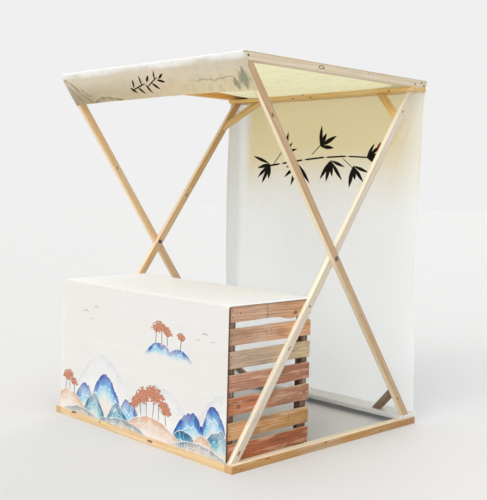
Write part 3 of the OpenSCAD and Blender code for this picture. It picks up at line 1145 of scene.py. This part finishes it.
def roof_look():
    """Cream canvas with a painted warm glow underneath, and a worn and painted valance."""
    sh = canvas("canvas_roof", (240, 232, 202), (230, 218, 182), 0.95)
    x, y, z = sh.split(sh.world_place())
    # The valance is the part that faces forwards
    on_face = y.fade(-0.60, -0.62) * sh.facing((0, -1, -0.4)).fade(-0.2, 0.2)
    # Painted glow: faces that look down take the yellow underside colour, but for the valance
    below = sh.facing((0, 0, -1)).fade(0.6, 0.9)
    sh.coat(below * (1.0 - on_face), painted_underside_glow(sh, x, y))
    mottle = sh.noise((x, z, 8.0), 26.0, 4.0, 0.6)
    sh.coat(on_face * 0.95, valance_face(sh, x, z, mottle))
    reeds = sh.noise((x * 110.0, z * 9.0, 2.0), 1.0, 3.0, 0.6)
    reeds = sh.strokes(x, z, REEDS) + reeds.scaled(1.6, -0.85)
    sh.coat(reeds.fade(0.2, 0.6, 0.0, 0.75) * on_face, (116, 122, 104))
    ink = sh.strokes(x, z, VALANCE_SPRAY).fade(0.0, 0.10) * on_face
    sh.coat(ink * 0.985, (20, 17, 17))
    # Less light scatters through the valance and none through the ink
    sh.set("Subsurface Weight", on_face.scaled(-0.7, 0.95) * (1.0 - ink))
    ridge = sh.noise((x * 11.0, 3.0, 0.0), 1.0, 4.0, 0.55).scaled(0.07, 1.853)
    faint = abs(z - ridge).fade(0.006, 0.001) * x.fade(0.28, 0.40) * x.fade(0.66, 0.62)
    sh.coat(faint * on_face * 0.45, (122, 112, 92))
    # Painted shade in patches just below the first folds
    for points, _, _ in FOLDS[:SHADED_FOLDS]:
        fold_shade = sh.strokes(x, z, fold_marks(points)).fade(0.0, 0.9) * on_face
        sh.coat(fold_shade * mottle.fade(0.3, 0.6, 0.75, 0.5), (122, 106, 80))
    return sh.finish()


roof_path = rounded_path(ROOF_CORNERS, (0.007, 0.012, 0.02), 0.009)
roof_rows = swept_cloth(roof_path, 0.013, roof_shape, roof_turned)
roof_piece = sheet_piece("roof_canvas", roof_rows, roof_look(), "roof_canvas",
                         "roof_cloth", "front_valance")


# The back canvas is wider than the stall: it laps over the roof's rear edge, its right edge
# hangs at the corner and its left part turns forward round the left rail's end

BACK_OUT = HALF_D + 0.0004
SIDE_OUT = HALF_W + 0.0022
CORNER_TURN = 0.036
BACK_FOOT = 0.010
BACK_TOP = TOP + 0.0016
LAP = 0.022
LAP_TURN = 0.008
# How far the right edge stands out near the top, and draws in at the foot and midway
TOP_OUT, FOOT_IN, MID_IN = 0.010, 0.012, 0.017
# Width of the part that is turned forwards, and how much wider it is low down
STRIP, STRIP_MORE = 0.098, 0.044


def back_outline(s, share):
    """Point, outward direction, distance to the nearer side edge and to the right one.

    s is the place across and share the height, both from 0 to 1.
    """
    loose = TOP_OUT * near(share, 0.983, 0.014)
    bow = math.sin(math.pi * share)
    right = HALF_W + 0.002 + loose - FOOT_IN * (1 - share) - MID_IN * bow
    forward = STRIP + STRIP_MORE * math.sin(math.pi * min(1.0, 1.12 - share))
    turned = CORNER_TURN * math.pi / 2
    straight = right + SIDE_OUT - CORNER_TURN
    total = straight + turned + forward - CORNER_TURN
    run = s * total
    edge = min(run, total - run)
    if run <= straight:
        return Vector((right - run, BACK_OUT, 0)), Y, edge, run
    if run <= straight + turned:
        angle = (run - straight) / CORNER_TURN
        out = Vector((-math.sin(angle), math.cos(angle), 0))
        middle = Vector((-SIDE_OUT + CORNER_TURN, BACK_OUT - CORNER_TURN, 0))
        return middle + out * CORNER_TURN, out, edge, run
    ahead = run - straight - turned
    return Vector((-SIDE_OUT, BACK_OUT - CORNER_TURN - ahead, 0)), -X, edge, run


def back_stand(x, share, run):
    """How far the hanging canvas swings inwards from its outline."""
    free = math.sin(math.pi * min(1.0, share * 1.02)) ** 0.6 if share < 0.98 else 0.0
    wave = 0.0045 * math.sin(x * 9.0 + 1.2 * math.sin(share * 3.0))
    wave += ripple(0.004, x * 4.0, share * 1.3, 5.0)
    curl = 0.005 * near(run, 0.0, 0.05) * math.sin(share * 17)
    crease = 0.0
    for sign in (-1, 1):
        from_side = HALF_W - sign * x
        below = (1 - share) * TOP
        for slope, depth in ((1.6, 0.0036), (2.6, 0.0028), (0.8, 0.0020)):
            line = below - 0.03 - from_side * slope
            crease += depth * near(line, 0.0, 0.022) * near(from_side, 0.12, 0.13)
    return 0.004 * free + (wave + curl) * free + crease * min(1.0, (1 - share) * 12)


def back_rows():
    """Rows from the floor to the roof's rear edge, and over it as a rolled lap."""
    hang = BACK_TOP - LAP_TURN - BACK_FOOT
    heights = [(BACK_FOOT + hang * i / 150, 0.0) for i in range(151)]
    for k in range(1, 5):
        angle = math.pi / 2 * k / 4
        inward = LAP_TURN * (1 - math.cos(angle))
        heights.append((BACK_TOP - LAP_TURN + LAP_TURN * math.sin(angle), inward))
    heights += [(BACK_TOP, LAP_TURN + 0.010), (BACK_TOP, LAP)]
    columns = 132
    side = [0.0, 0.0006, 0.0055, 0.0108, 0.0122]
    within = side[-1]
    places = side + [within + (1 - 2 * within) * i / columns for i in range(1, columns)]
    places += [1 - p for p in reversed(side)]
    rows = []
    down = 0.0
    previous = heights[0]
    for z, inward in heights:
        down += math.dist(previous, (z, inward))
        previous = (z, inward)
        share = min(1.0, z / TOP)
        row = []
        for s in places:
            point, out, edge, run = back_outline(s, share)
            swing = back_stand(point.x, share, run) if inward == 0.0 else 0.0
            sag = rear_sag(point.x) * ease(z, BACK_TOP - 0.12, BACK_TOP)
            edge = min(edge, z - BACK_FOOT + inward)
            hem = CLOTH if edge < HEM else 0.0
            lie = Z if inward > LAP_TURN else out
            roll = 0.010 * max(0.0, out.y) * near(z, BACK_TOP - 0.018, 0.014)
            place = point + out * (roll - inward - swing) + Z * (z - sag)
            row.append((place + lie * hem, place - lie * CLOTH, (run, down, edge)))
        rows.append(row)
    return rows


# A brush painting of bamboo, with two red leaves, hung this much lower than it is written
ART_DROP = 0.075
BAMBOO_STEMS = (
    (-0.48, 1.585, 8, 0.105, 0.0075, 9.0), (-0.27, 1.612, 7, 0.098, 0.007, 9.0),
    (-0.075, 1.632, 5, 0.090, 0.0065, 9.0), (0.105, 1.642, 2, 0.085, 0.006, 9.0),
    (0.275, 1.640, -3, 0.080, 0.0055, 9.0), (-0.40, 1.64, 48, 0.065, 0.0035, 5.0),
    (-0.06, 1.69, 40, 0.06, 0.0035, 5.0), (0.2, 1.60, -38, 0.06, 0.003, 5.0),
)
RED_LEAVES = ((0.43, 1.70, 65, 0.034, 0.013, 1.8), (0.452, 1.665, 118, 0.030, 0.011, 1.8))
# Leaf sprays: centre, number of leaves, middle direction and length of a leaf
BAMBOO_SPRAYS = (
    (-0.47, 1.60, 5, 215, 0.082), (-0.34, 1.67, 4, 60, 0.070), (-0.22, 1.60, 5, 250, 0.085),
    (-0.03, 1.71, 4, 40, 0.075), (0.06, 1.62, 5, 285, 0.080), (0.24, 1.585, 4, 300, 0.070),
    (0.34, 1.635, 4, 20, 0.072),
)


def bamboo_leaves():
    """The leaves of all the sprays, as strokes."""
    leaves = []
    for cu, cv, count, turn, size in BAMBOO_SPRAYS:
        for k in range(count):
            angle = turn + (k - (count - 1) / 2) * 27 + 6 * math.sin(cu * 40 + k)
            long = size * (0.85 + 0.2 * math.sin(k * 2.3 + cu * 9))
            lu = cu + math.cos(math.radians(angle)) * long
            lv = cv + math.sin(math.radians(angle)) * long
            leaves.append((lu, lv, angle, long, 0.0135 + 0.003 * math.sin(k + cu * 5), 1.7))
    return leaves


def back_look():
    """White canvas with painted light: lighter and bluer low down, the roof's warm shade at the
    top; the bamboo is on its inner side.
    """
    through = 0.8
    sh = canvas("canvas_back", (238, 244, 243), (230, 236, 236), through, (0.97, 0.99, 1.0))
    x, y, z = sh.split(sh.world_place())
    # Painted light: the lower part is a lighter, bluer white
    sh.coat(z.fade(1.05, 0.45), (243, 253, 255))
    inner = sh.facing((0.4, -1, 0)).fade(-0.2, 0.2)
    haze = sh.noise((x, z, 0.0), 1.6, 2.0)
    # Painted shade of the roof: warm towards the top, fainter towards the right and a quarter as
    # strong on the outer side
    warm = haze.scaled(0.24, z).fade(1.26, 1.80) * x.fade(-0.757, -0.63)
    warm = warm * x.fade(0.76, 0.50, 0.5, 1.0) * x.fade(0.752, 0.73)
    warm = warm * inner.fade(0.0, 1.0, 0.25, 1.0)
    sh.coat(warm * 0.96, (211, 185, 118))
    art_z = z + ART_DROP
    stems = sh.strokes(x, art_z, BAMBOO_STEMS).fade(0.0, 0.25)
    leaves = sh.strokes(x, art_z, bamboo_leaves()).fade(0.0, 0.09)
    dry = sh.noise((x, z, 1.0), 30.0, 4.0, 0.65).fade(0.30, 0.42, 0.96, 1.0)
    dry = dry * inner.fade(0.0, 1.0, GHOST, 1.0)
    ink = sh.math("MAXIMUM", stems, leaves) * dry
    sh.coat(ink * 0.99, (10, 8, 8))
    red = sh.strokes(x, art_z, RED_LEAVES).fade(0.0, 0.15) * dry
    sh.coat(red * 0.9, (142, 44, 34))
    sh.set("Subsurface Weight", sh.math("MAXIMUM", ink, red).scaled(-through, through))
    return sh.finish()


back_piece = sheet_piece("back_canvas", back_rows(), back_look(), "back_canvas", "back_cloth")


# A strip of the same canvas is wrapped round the rear sill board

WRAP_LOW = RAIL_H - 0.0022
WRAP_HIGH = SILL_TOP + 0.0020
WRAP_FRONT = SILL_FRONT - 0.0022
WRAP_CORNERS = (
    (HALF_D - 0.002, WRAP_LOW),
    (WRAP_FRONT, WRAP_LOW),
    (WRAP_FRONT, WRAP_HIGH),
    (HALF_D - 0.004, WRAP_HIGH),
)
# Length of the strip's run along the board's top
WRAP_TOP = HALF_D - SILL_FRONT


def wrap_shape(x, t):
    """The strip stands off the board a little, but for its ends."""
    puff = 0.0009 + ripple(0.0014, x * 12.0, t * 9.0, 3.0)
    return max(-0.0002, puff) * (1 - ease(abs(x), INNER_X - 0.02, INNER_X)), 0.0


def wrap_turned(t):
    """The strip's ends are folded down over the board's ends, along its top."""
    return 0.0015 + 0.018 * (1 - ease(t, WRAP_TOP - 0.012, WRAP_TOP - 0.004))


wrap_path = rounded_path(WRAP_CORNERS, (0.005, 0.006), 0.010)
wrap_rows = swept_cloth(wrap_path[::-1], 0.014, wrap_shape, wrap_turned)
wrap_look = canvas("canvas_sill", (250, 250, 247), (244, 244, 240), 0.5).finish()
wrap_piece = sheet_piece("sill_wrap", wrap_rows, wrap_look, "back_canvas", "sill_cloth")


# The counter's canvas: top and front in one piece, rounded over the counter's edges

COUNTER_FRONT = -HALF_D + 0.001
COUNTER_BACK = COUNTER_REAR + 0.0015
COUNTER_Z = COUNTER_TOP - 0.0008
COUNTER_CORNERS = (
    (COUNTER_BACK, COUNTER_Z - 0.016),
    (COUNTER_BACK, COUNTER_Z),
    (COUNTER_FRONT, COUNTER_Z),
    (COUNTER_FRONT, RAIL_H + 0.001),
)
# Radius and angle of the turned-down edges, and the place of the counter's sides
LEFT_TURN = 0.028
RIGHT_TURN = 0.005
COUNTER_SIDE = INNER_X + 0.0015
QUARTER = math.pi / 2


def counter_columns(start, end):
    """(side, angle) on the arcs of the turned-down edges, and (0, x) on the flat between."""
    columns = [(-1, QUARTER * (1 - i / 8)) for i in range(9)]
    count = int((end - start) / 0.012)
    columns += [(0, start + (end - start) * i / count) for i in range(1, count)]
    columns += [(1, QUARTER * i / 4) for i in range(5)]
    return columns


def counter_rows():
    """Rows of the counter's canvas, with its side edges turned down over the slats."""
    path = rounded_path(COUNTER_CORNERS, (0.004, 0.010), 0.012)
    start, end = -COUNTER_SIDE + LEFT_TURN, COUNTER_SIDE + 0.004 - RIGHT_TURN
    columns = counter_columns(start, end)
    steps = walk(path)
    total = steps[-1][-1]
    low_z = path[-1].y
    rows = []
    for point, _, outward, t in steps:
        normal = Vector((0, *outward))
        down = max(0.0, (point.y - low_z) / (COUNTER_Z - low_z))
        from_front = point.x - COUNTER_FRONT
        left_turn = LEFT_TURN - 0.016 * min(1.0, from_front / 0.5)
        on_front = min(1.0, max(0.0, (COUNTER_Z - point.y) / 0.02))
        row = []
        for side, value in columns:
            if side:
                radius = left_turn if side < 0 else RIGHT_TURN
                flat_end = -COUNTER_SIDE + left_turn if side < 0 else end
                x = flat_end + side * radius * math.sin(value)
                drop = radius * (1 - math.cos(value))
                edge = radius * (QUARTER - value)
                rounded = Vector((side * math.sin(value), 0, math.cos(value)))
                tilt = (rounded * (1 - on_front) + normal * on_front).normalized()
            else:
                x = value
                drop = 0.0
                edge = min(x - start + LEFT_TURN * QUARTER, end - x + RIGHT_TURN * QUARTER)
                tilt = normal.normalized()
            edge = min(edge, total - t)
            free = min(1.0, max(0.0, (COUNTER_Z - point.y) / 0.08)) * min(1.0, edge / 0.05)
            lift = free * (ripple(0.0024, x * 3.0, 0.0, point.y * 2.0 + 2.0)
                           + ripple(0.0010, x * 8.0, 0.0, point.y * 1.4 + 6.0))
            if from_front > 0.03:
                lift += ripple(0.0008, x * 6.0, point.x * 5.0, 9.0) + 0.0004
            hem = CLOTH * 0.8 if edge < HEM else 0.0
            place = Vector((x, point.x, point.y - drop * down))
            row.append((place + tilt * (lift + CLOTH + hem), place + tilt * lift, (x, t, edge)))
        rows.append(row)
    return rows


# The print on the counter's front: layered hills, trees, mist and birds

PAPER = (246, 246, 242)
BLUE = ((0.0, (56, 66, 132)), (0.14, (62, 92, 172)), (0.32, (74, 150, 208)),
        (0.55, (150, 208, 226)), (0.78, (214, 220, 218)), (1.0, (234, 222, 208)))
TEAL = ((0.0, (36, 82, 118)), (0.22, (38, 118, 154)), (0.45, (84, 166, 184)),
        (0.75, (190, 214, 208)), (1.0, (228, 218, 204)))
SAND = ((0.0, (206, 152, 120)), (0.3, (222, 182, 152)), (0.7, (236, 212, 192)),
        (1.0, (238, 226, 214)))
ROCK = ((0.0, (120, 132, 152)), (0.3, (164, 168, 170)), (0.65, (214, 196, 176)),
        (1.0, (236, 224, 210)))
MIST = ((0.0, (204, 206, 214)), (0.35, (224, 224, 226)), (1.0, (240, 239, 234)))
# Layers from the furthest to the nearest: peaks (place, left reach, right reach, height,
# roundness), colours, depth, roughness, seed and strength
HILLS = (
    (((-0.30, 0.34, 0.38, 0.38, 1.8), (0.24, 0.30, 0.30, 0.29, 1.8), (0.68, 0.26, 0.2, 0.34, 1.8)),
     MIST, 0.16, 0.14, 2.0, 0.6),
    (((-0.27, 0.17, 0.20, 0.27, 1.8), (-0.45, 0.15, 0.13, 0.19, 1.9),
      (-0.06, 0.12, 0.15, 0.165, 2.0), (0.46, 0.18, 0.16, 0.20, 1.9),
      (0.62, 0.12, 0.12, 0.26, 2.2)), BLUE, 0.17, 0.085, 5.0, 1.0),
    (((-0.37, 0.12, 0.12, 0.145, 1.7), (-0.16, 0.10, 0.14, 0.125, 1.9),
      (0.67, 0.17, 0.14, 0.15, 1.8), (0.40, 0.13, 0.13, 0.10, 1.8)), TEAL, 0.13, 0.07, 9.0, 1.0),
    (((0.13, 0.25, 0.27, 0.11, 2.1), (-0.62, 0.18, 0.20, 0.125, 2.0),
      (0.54, 0.10, 0.10, 0.10, 2.4)), SAND, 0.10, 0.045, 13.0, 0.95),
    (((-0.10, 0.26, 0.22, 0.05, 1.9), (0.50, 0.22, 0.24, 0.055, 1.9),
      (-0.5, 0.2, 0.2, 0.042, 1.8)), ROCK, 0.07, 0.035, 17.0, 0.85),
)
# A small hill floats in mist above the others, from this height
FLOATING = (((0.20, 0.14, 0.14, 0.095, 2.0), (0.35, 0.13, 0.13, 0.080, 2.0)),
            BLUE[:4] + BLUE[5:], 0.085, 0.03, 21.0, 1.0)
FLOAT_Z = RAIL_H + 0.42

# Autumn groves: crowns (x, height over the hem, angle, half length, half height) and the
# trunks under them (x, foot, top)
CROWNS = (
    (-0.625, 0.205, 12, 0.062, 0.036), (-0.565, 0.175, -18, 0.044, 0.026),
    (0.005, 0.165, 22, 0.056, 0.034), (0.075, 0.212, 14, 0.084, 0.048),
    (0.165, 0.232, -8, 0.094, 0.052), (0.245, 0.180, -28, 0.072, 0.040),
    (0.185, 0.590, 12, 0.064, 0.034), (0.255, 0.574, -20, 0.050, 0.028),
    (0.365, 0.560, -8, 0.036, 0.024),
)
TRUNKS = (
    (-0.645, 0.115, 0.205), (-0.608, 0.12, 0.21), (-0.562, 0.105, 0.17),
    (0.0, 0.08, 0.165), (0.05, 0.10, 0.20), (0.10, 0.105, 0.225), (0.16, 0.105, 0.235),
    (0.20, 0.10, 0.21), (0.255, 0.085, 0.18),
    (0.17, 0.50, 0.59), (0.215, 0.505, 0.585), (0.258, 0.50, 0.57), (0.365, 0.49, 0.56),
)
# Birds: x, z and half the length of a wing
BIRDS = (
    (-0.46, 0.64, 0.016), (-0.36, 0.672, 0.012), (-0.40, 0.60, 0.010),
    (0.54, 0.64, 0.014), (0.49, 0.605, 0.010), (0.60, 0.61, 0.009),
)


def hill_line(sh, x, peaks, seed, jag):
    """Height of a hill layer at x, roughened, and a mask that is 0 where the layer ends."""
    best = 0.0
    for place, left, right, height, power in peaks:
        away = sh.math("MAXIMUM", (place - x) / left, (x - place) / right)
        fall = sh.math("MINIMUM", away, 1.0) ** power
        best = sh.math("MAXIMUM", best, fall.scaled(-height, height))
    rough = (sh.noise((x, seed, 0.0), 16.0, 6.0, 0.62) - 0.5) * jag
    live = best.fade(0.0, 0.03)
    return rough.scaled(live, best), live


def paint_hills(sh, x, brush, layer, base):
    """Paints one layer of hills over the body and returns the height under its line.

    brush is how the colours run, the share of dry brush and how blotted they are.
    """
    run, dry, blot = brush
    peaks, colours, depth, jag, seed, strong = layer
    top, live = hill_line(sh, x, peaks, seed, jag)
    inside = top - base
    worked = inside + run
    hill = sh.ramp(worked / depth, colours)
    hill = sh.mix(blot.fade(0.4, 0.7, 0.0, 0.4), hill, (236, 238, 236))
    hill = sh.mix(dry, hill, PAPER)
    strata = (worked / (depth * 0.42)).fract()
    vein = strata.fade(0.90, 0.955) * strata.fade(1.0, 0.985)
    vein = vein * inside.fade(depth * 0.95, depth * 0.5)
    hill = sh.mix(vein * 0.9, hill, PAPER)
    rim = abs(inside - 0.0022).fade(0.0032, 0.0014)
    hill = sh.mix(rim * 0.9, hill, (248, 247, 242))
    sh.coat(inside.fade(0.0, 0.0025) * strong * live, hill)
    return inside


def paint_groves(sh, x, z):
    """Paints the trunks and the ragged crowns."""
    trunks = []
    for place, foot, top in TRUNKS:
        lean = 90 + 7 * math.sin(place * 31)
        middle = RAIL_H + (foot + top) / 2
        trunks.append((place, middle, lean, (top - foot) / 2 + 0.006, 0.0032, 5.0))
    sh.coat(sh.strokes(x, z, trunks).fade(0.0, 0.3) * 0.85, (78, 54, 44))
    crowns = [(place, RAIL_H + height, *size, 2.0) for place, height, *size in CROWNS]
    crown = sh.strokes(x, z, crowns)
    ragged = sh.noise((x, z, 7.0), 210.0, 3.0, 0.6)
    clumps = sh.noise((x, z * 1.7, 7.0), 52.0, 2.0)
    edge = crown + clumps.scaled(2.6, -1.35) + ragged.scaled(0.9, -0.45)
    leaves = sh.mix(ragged.fade(0.4, 0.62), (156, 76, 56), (226, 152, 108))
    leaves = sh.mix(edge.fade(0.5, 0.1, 0.0, 0.6), leaves, (132, 56, 46))
    sh.coat(edge.fade(0.02, 0.16) * crown.fade(0.0, 0.04) * 0.92, leaves)


def counter_look():
    """White canvas with the print on its front, which shows faintly through on the inside."""
    sh = canvas("canvas_counter", (232, 230, 226), (225, 222, 217), 0.15)
    x, y, z = sh.split(sh.world_place())
    # Painted light: the counter's top is a lighter, bluer white than the rest of its canvas
    high = z.fade(COUNTER_TOP - 0.012, COUNTER_TOP - 0.003)
    plain = sh.mix(high, sh.body, (250, 252, 254))
    fleck = sh.noise((x, z, 3.0), 330.0, 3.0, 0.7)
    sh.coat(fleck.fade(0.54, 0.72, 0.0, 0.4), (196, 186, 184))
    run = (sh.noise((x * 26.0, z * 9.0, 4.0), 1.0, 5.0, 0.62) - 0.5) * 0.095
    dry = sh.noise((x * 150.0, z * 14.0, 9.0), 1.0, 3.0, 0.6).fade(0.5, 0.72, 0.0, 0.45)
    brush = (run, dry, sh.noise((x, z, 2.0), 9.0, 4.0))
    above_hem = z - RAIL_H
    for layer in HILLS:
        paint_hills(sh, x, brush, layer, above_hem)
    before = sh.body
    over_mist = z - FLOAT_Z
    inside = paint_hills(sh, x, brush, FLOATING, over_mist)
    sh.body = sh.mix(over_mist.fade(0.008, 0.05) * inside.fade(-0.001, 0.0), before, sh.body)
    paint_groves(sh, x, z)
    wings = []
    for place, height, size in BIRDS:
        wings.append((place - size * 0.8, height, 24, size, size * 0.17, 1.5))
        wings.append((place + size * 0.8, height, -28, size, size * 0.17, 1.5))
    sh.coat(sh.strokes(x, z, wings).fade(0.0, 0.3) * 0.85, (52, 50, 54))
    outside = sh.facing((0, -1, 0)).fade(-0.2, 0.2, GHOST, 1.0)
    on_front = y.fade(0.008 - HALF_D, 0.003 - HALF_D)
    sh.body = sh.mix(on_front * outside, plain, sh.body)
    return sh.finish()


counter_piece = sheet_piece("counter_canvas", counter_rows(), counter_look(), "counter_canvas",
                            "counter_top_cloth", "counter_front_cloth")


# Floor, light and camera

# Strength of the light from all round, and of what the camera sees of it
WORLD_LIGHT = 0.52
SEEN_LEVEL = 0.87
WHITE = (255, 255, 255)
# Name, direction, strength and spread in degrees of each lamp
SUNS = (
    ("key", (-0.15, 1.0, -0.45), 0.70, 45),
    ("high", (-0.10, 1.0, -1.0), 0.80, 45),
    ("top", (-0.05, 0.10, -1.0), 0.55, 60),
    ("side", (-0.75, 0.60, -0.42), 0.62, 60),
    ("rear", (0.30, -1.0, -0.60), 0.85, 60),
)

# The photograph's camera: place, turn, tilt and roll in degrees, focal length and
# principal point in pixels of the photograph's frame
EYE = (3.721, -3.679, 1.364)
TURN, TILT, ROLL = 46.87, -2.50, 1.37
FOCAL = 893.0
MIDDLE = (215.0, 225.0)
FRAME_W, FRAME_H = 487, 500
SENSOR = 36.0


def make_stage():
    """A wide pale floor."""
    bm = bmesh.new()
    bmesh.ops.create_circle(bm, cap_ends=True, segments=64, radius=60.0)
    mesh = bpy.data.meshes.new("floor")
    bm.to_mesh(mesh)
    bm.free()
    floor = bpy.data.objects.new("floor", mesh)
    bpy.context.scene.collection.objects.link(floor)
    sh = Shader("floor_paint", 0.9, (217, 217, 216))
    sh.coat(sh.noise(sh.world_place(), 2.0, 3.0), (220, 220, 219))
    mesh.materials.append(sh.finish().material)
    floor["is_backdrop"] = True


def make_light():
    """Soft light from all round, at a level of its own where it is seen, and the lamps."""
    world = bpy.data.worlds.new("studio")
    bpy.context.scene.world = world
    sky = Tree(world)
    rays = sky.node("LightPath").outputs
    seen = 0.0
    for ray in ("Is Camera Ray", "Is Glossy Ray", "Is Transmission Ray"):
        seen = sky.math("MAXIMUM", seen, Value(sky, rays[ray]))
    soft = sky.take(0, "Background", WHITE, WORLD_LIGHT)
    bright = sky.take(0, "Background", WHITE, SEEN_LEVEL)
    sky.node("OutputWorld", sky.take(0, "MixShader", seen, soft, bright))
    for name, aim, strength, spread in SUNS:
        data = bpy.data.lights.new(name, "SUN")
        data.energy = strength
        data.angle = math.radians(spread)
        lamp = bpy.data.objects.new(name, data)
        lamp.rotation_mode = "QUATERNION"
        lamp.rotation_quaternion = Vector(aim).to_track_quat("-Z", "Y")
        bpy.context.scene.collection.objects.link(lamp)


def make_camera():
    data = bpy.data.cameras.new("camera")
    data.sensor_width = SENSOR
    data.lens = FOCAL * SENSOR / FRAME_H
    data.shift_x = (FRAME_W / 2 - MIDDLE[0]) / FRAME_H
    data.shift_y = (MIDDLE[1] - FRAME_H / 2) / FRAME_H
    camera = bpy.data.objects.new("camera", data)
    pose = Matrix.Translation(EYE)
    for angle, axis in ((TURN, "Z"), (90 + TILT, "X"), (ROLL, "Z")):
        pose @= Matrix.Rotation(math.radians(angle), 4, axis)
    camera.matrix_world = pose
    bpy.context.scene.collection.objects.link(camera)
    bpy.context.scene.camera = camera


make_stage()
make_light()
make_camera()
bpy.context.scene.view_settings.view_transform = "Standard"

low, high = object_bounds()
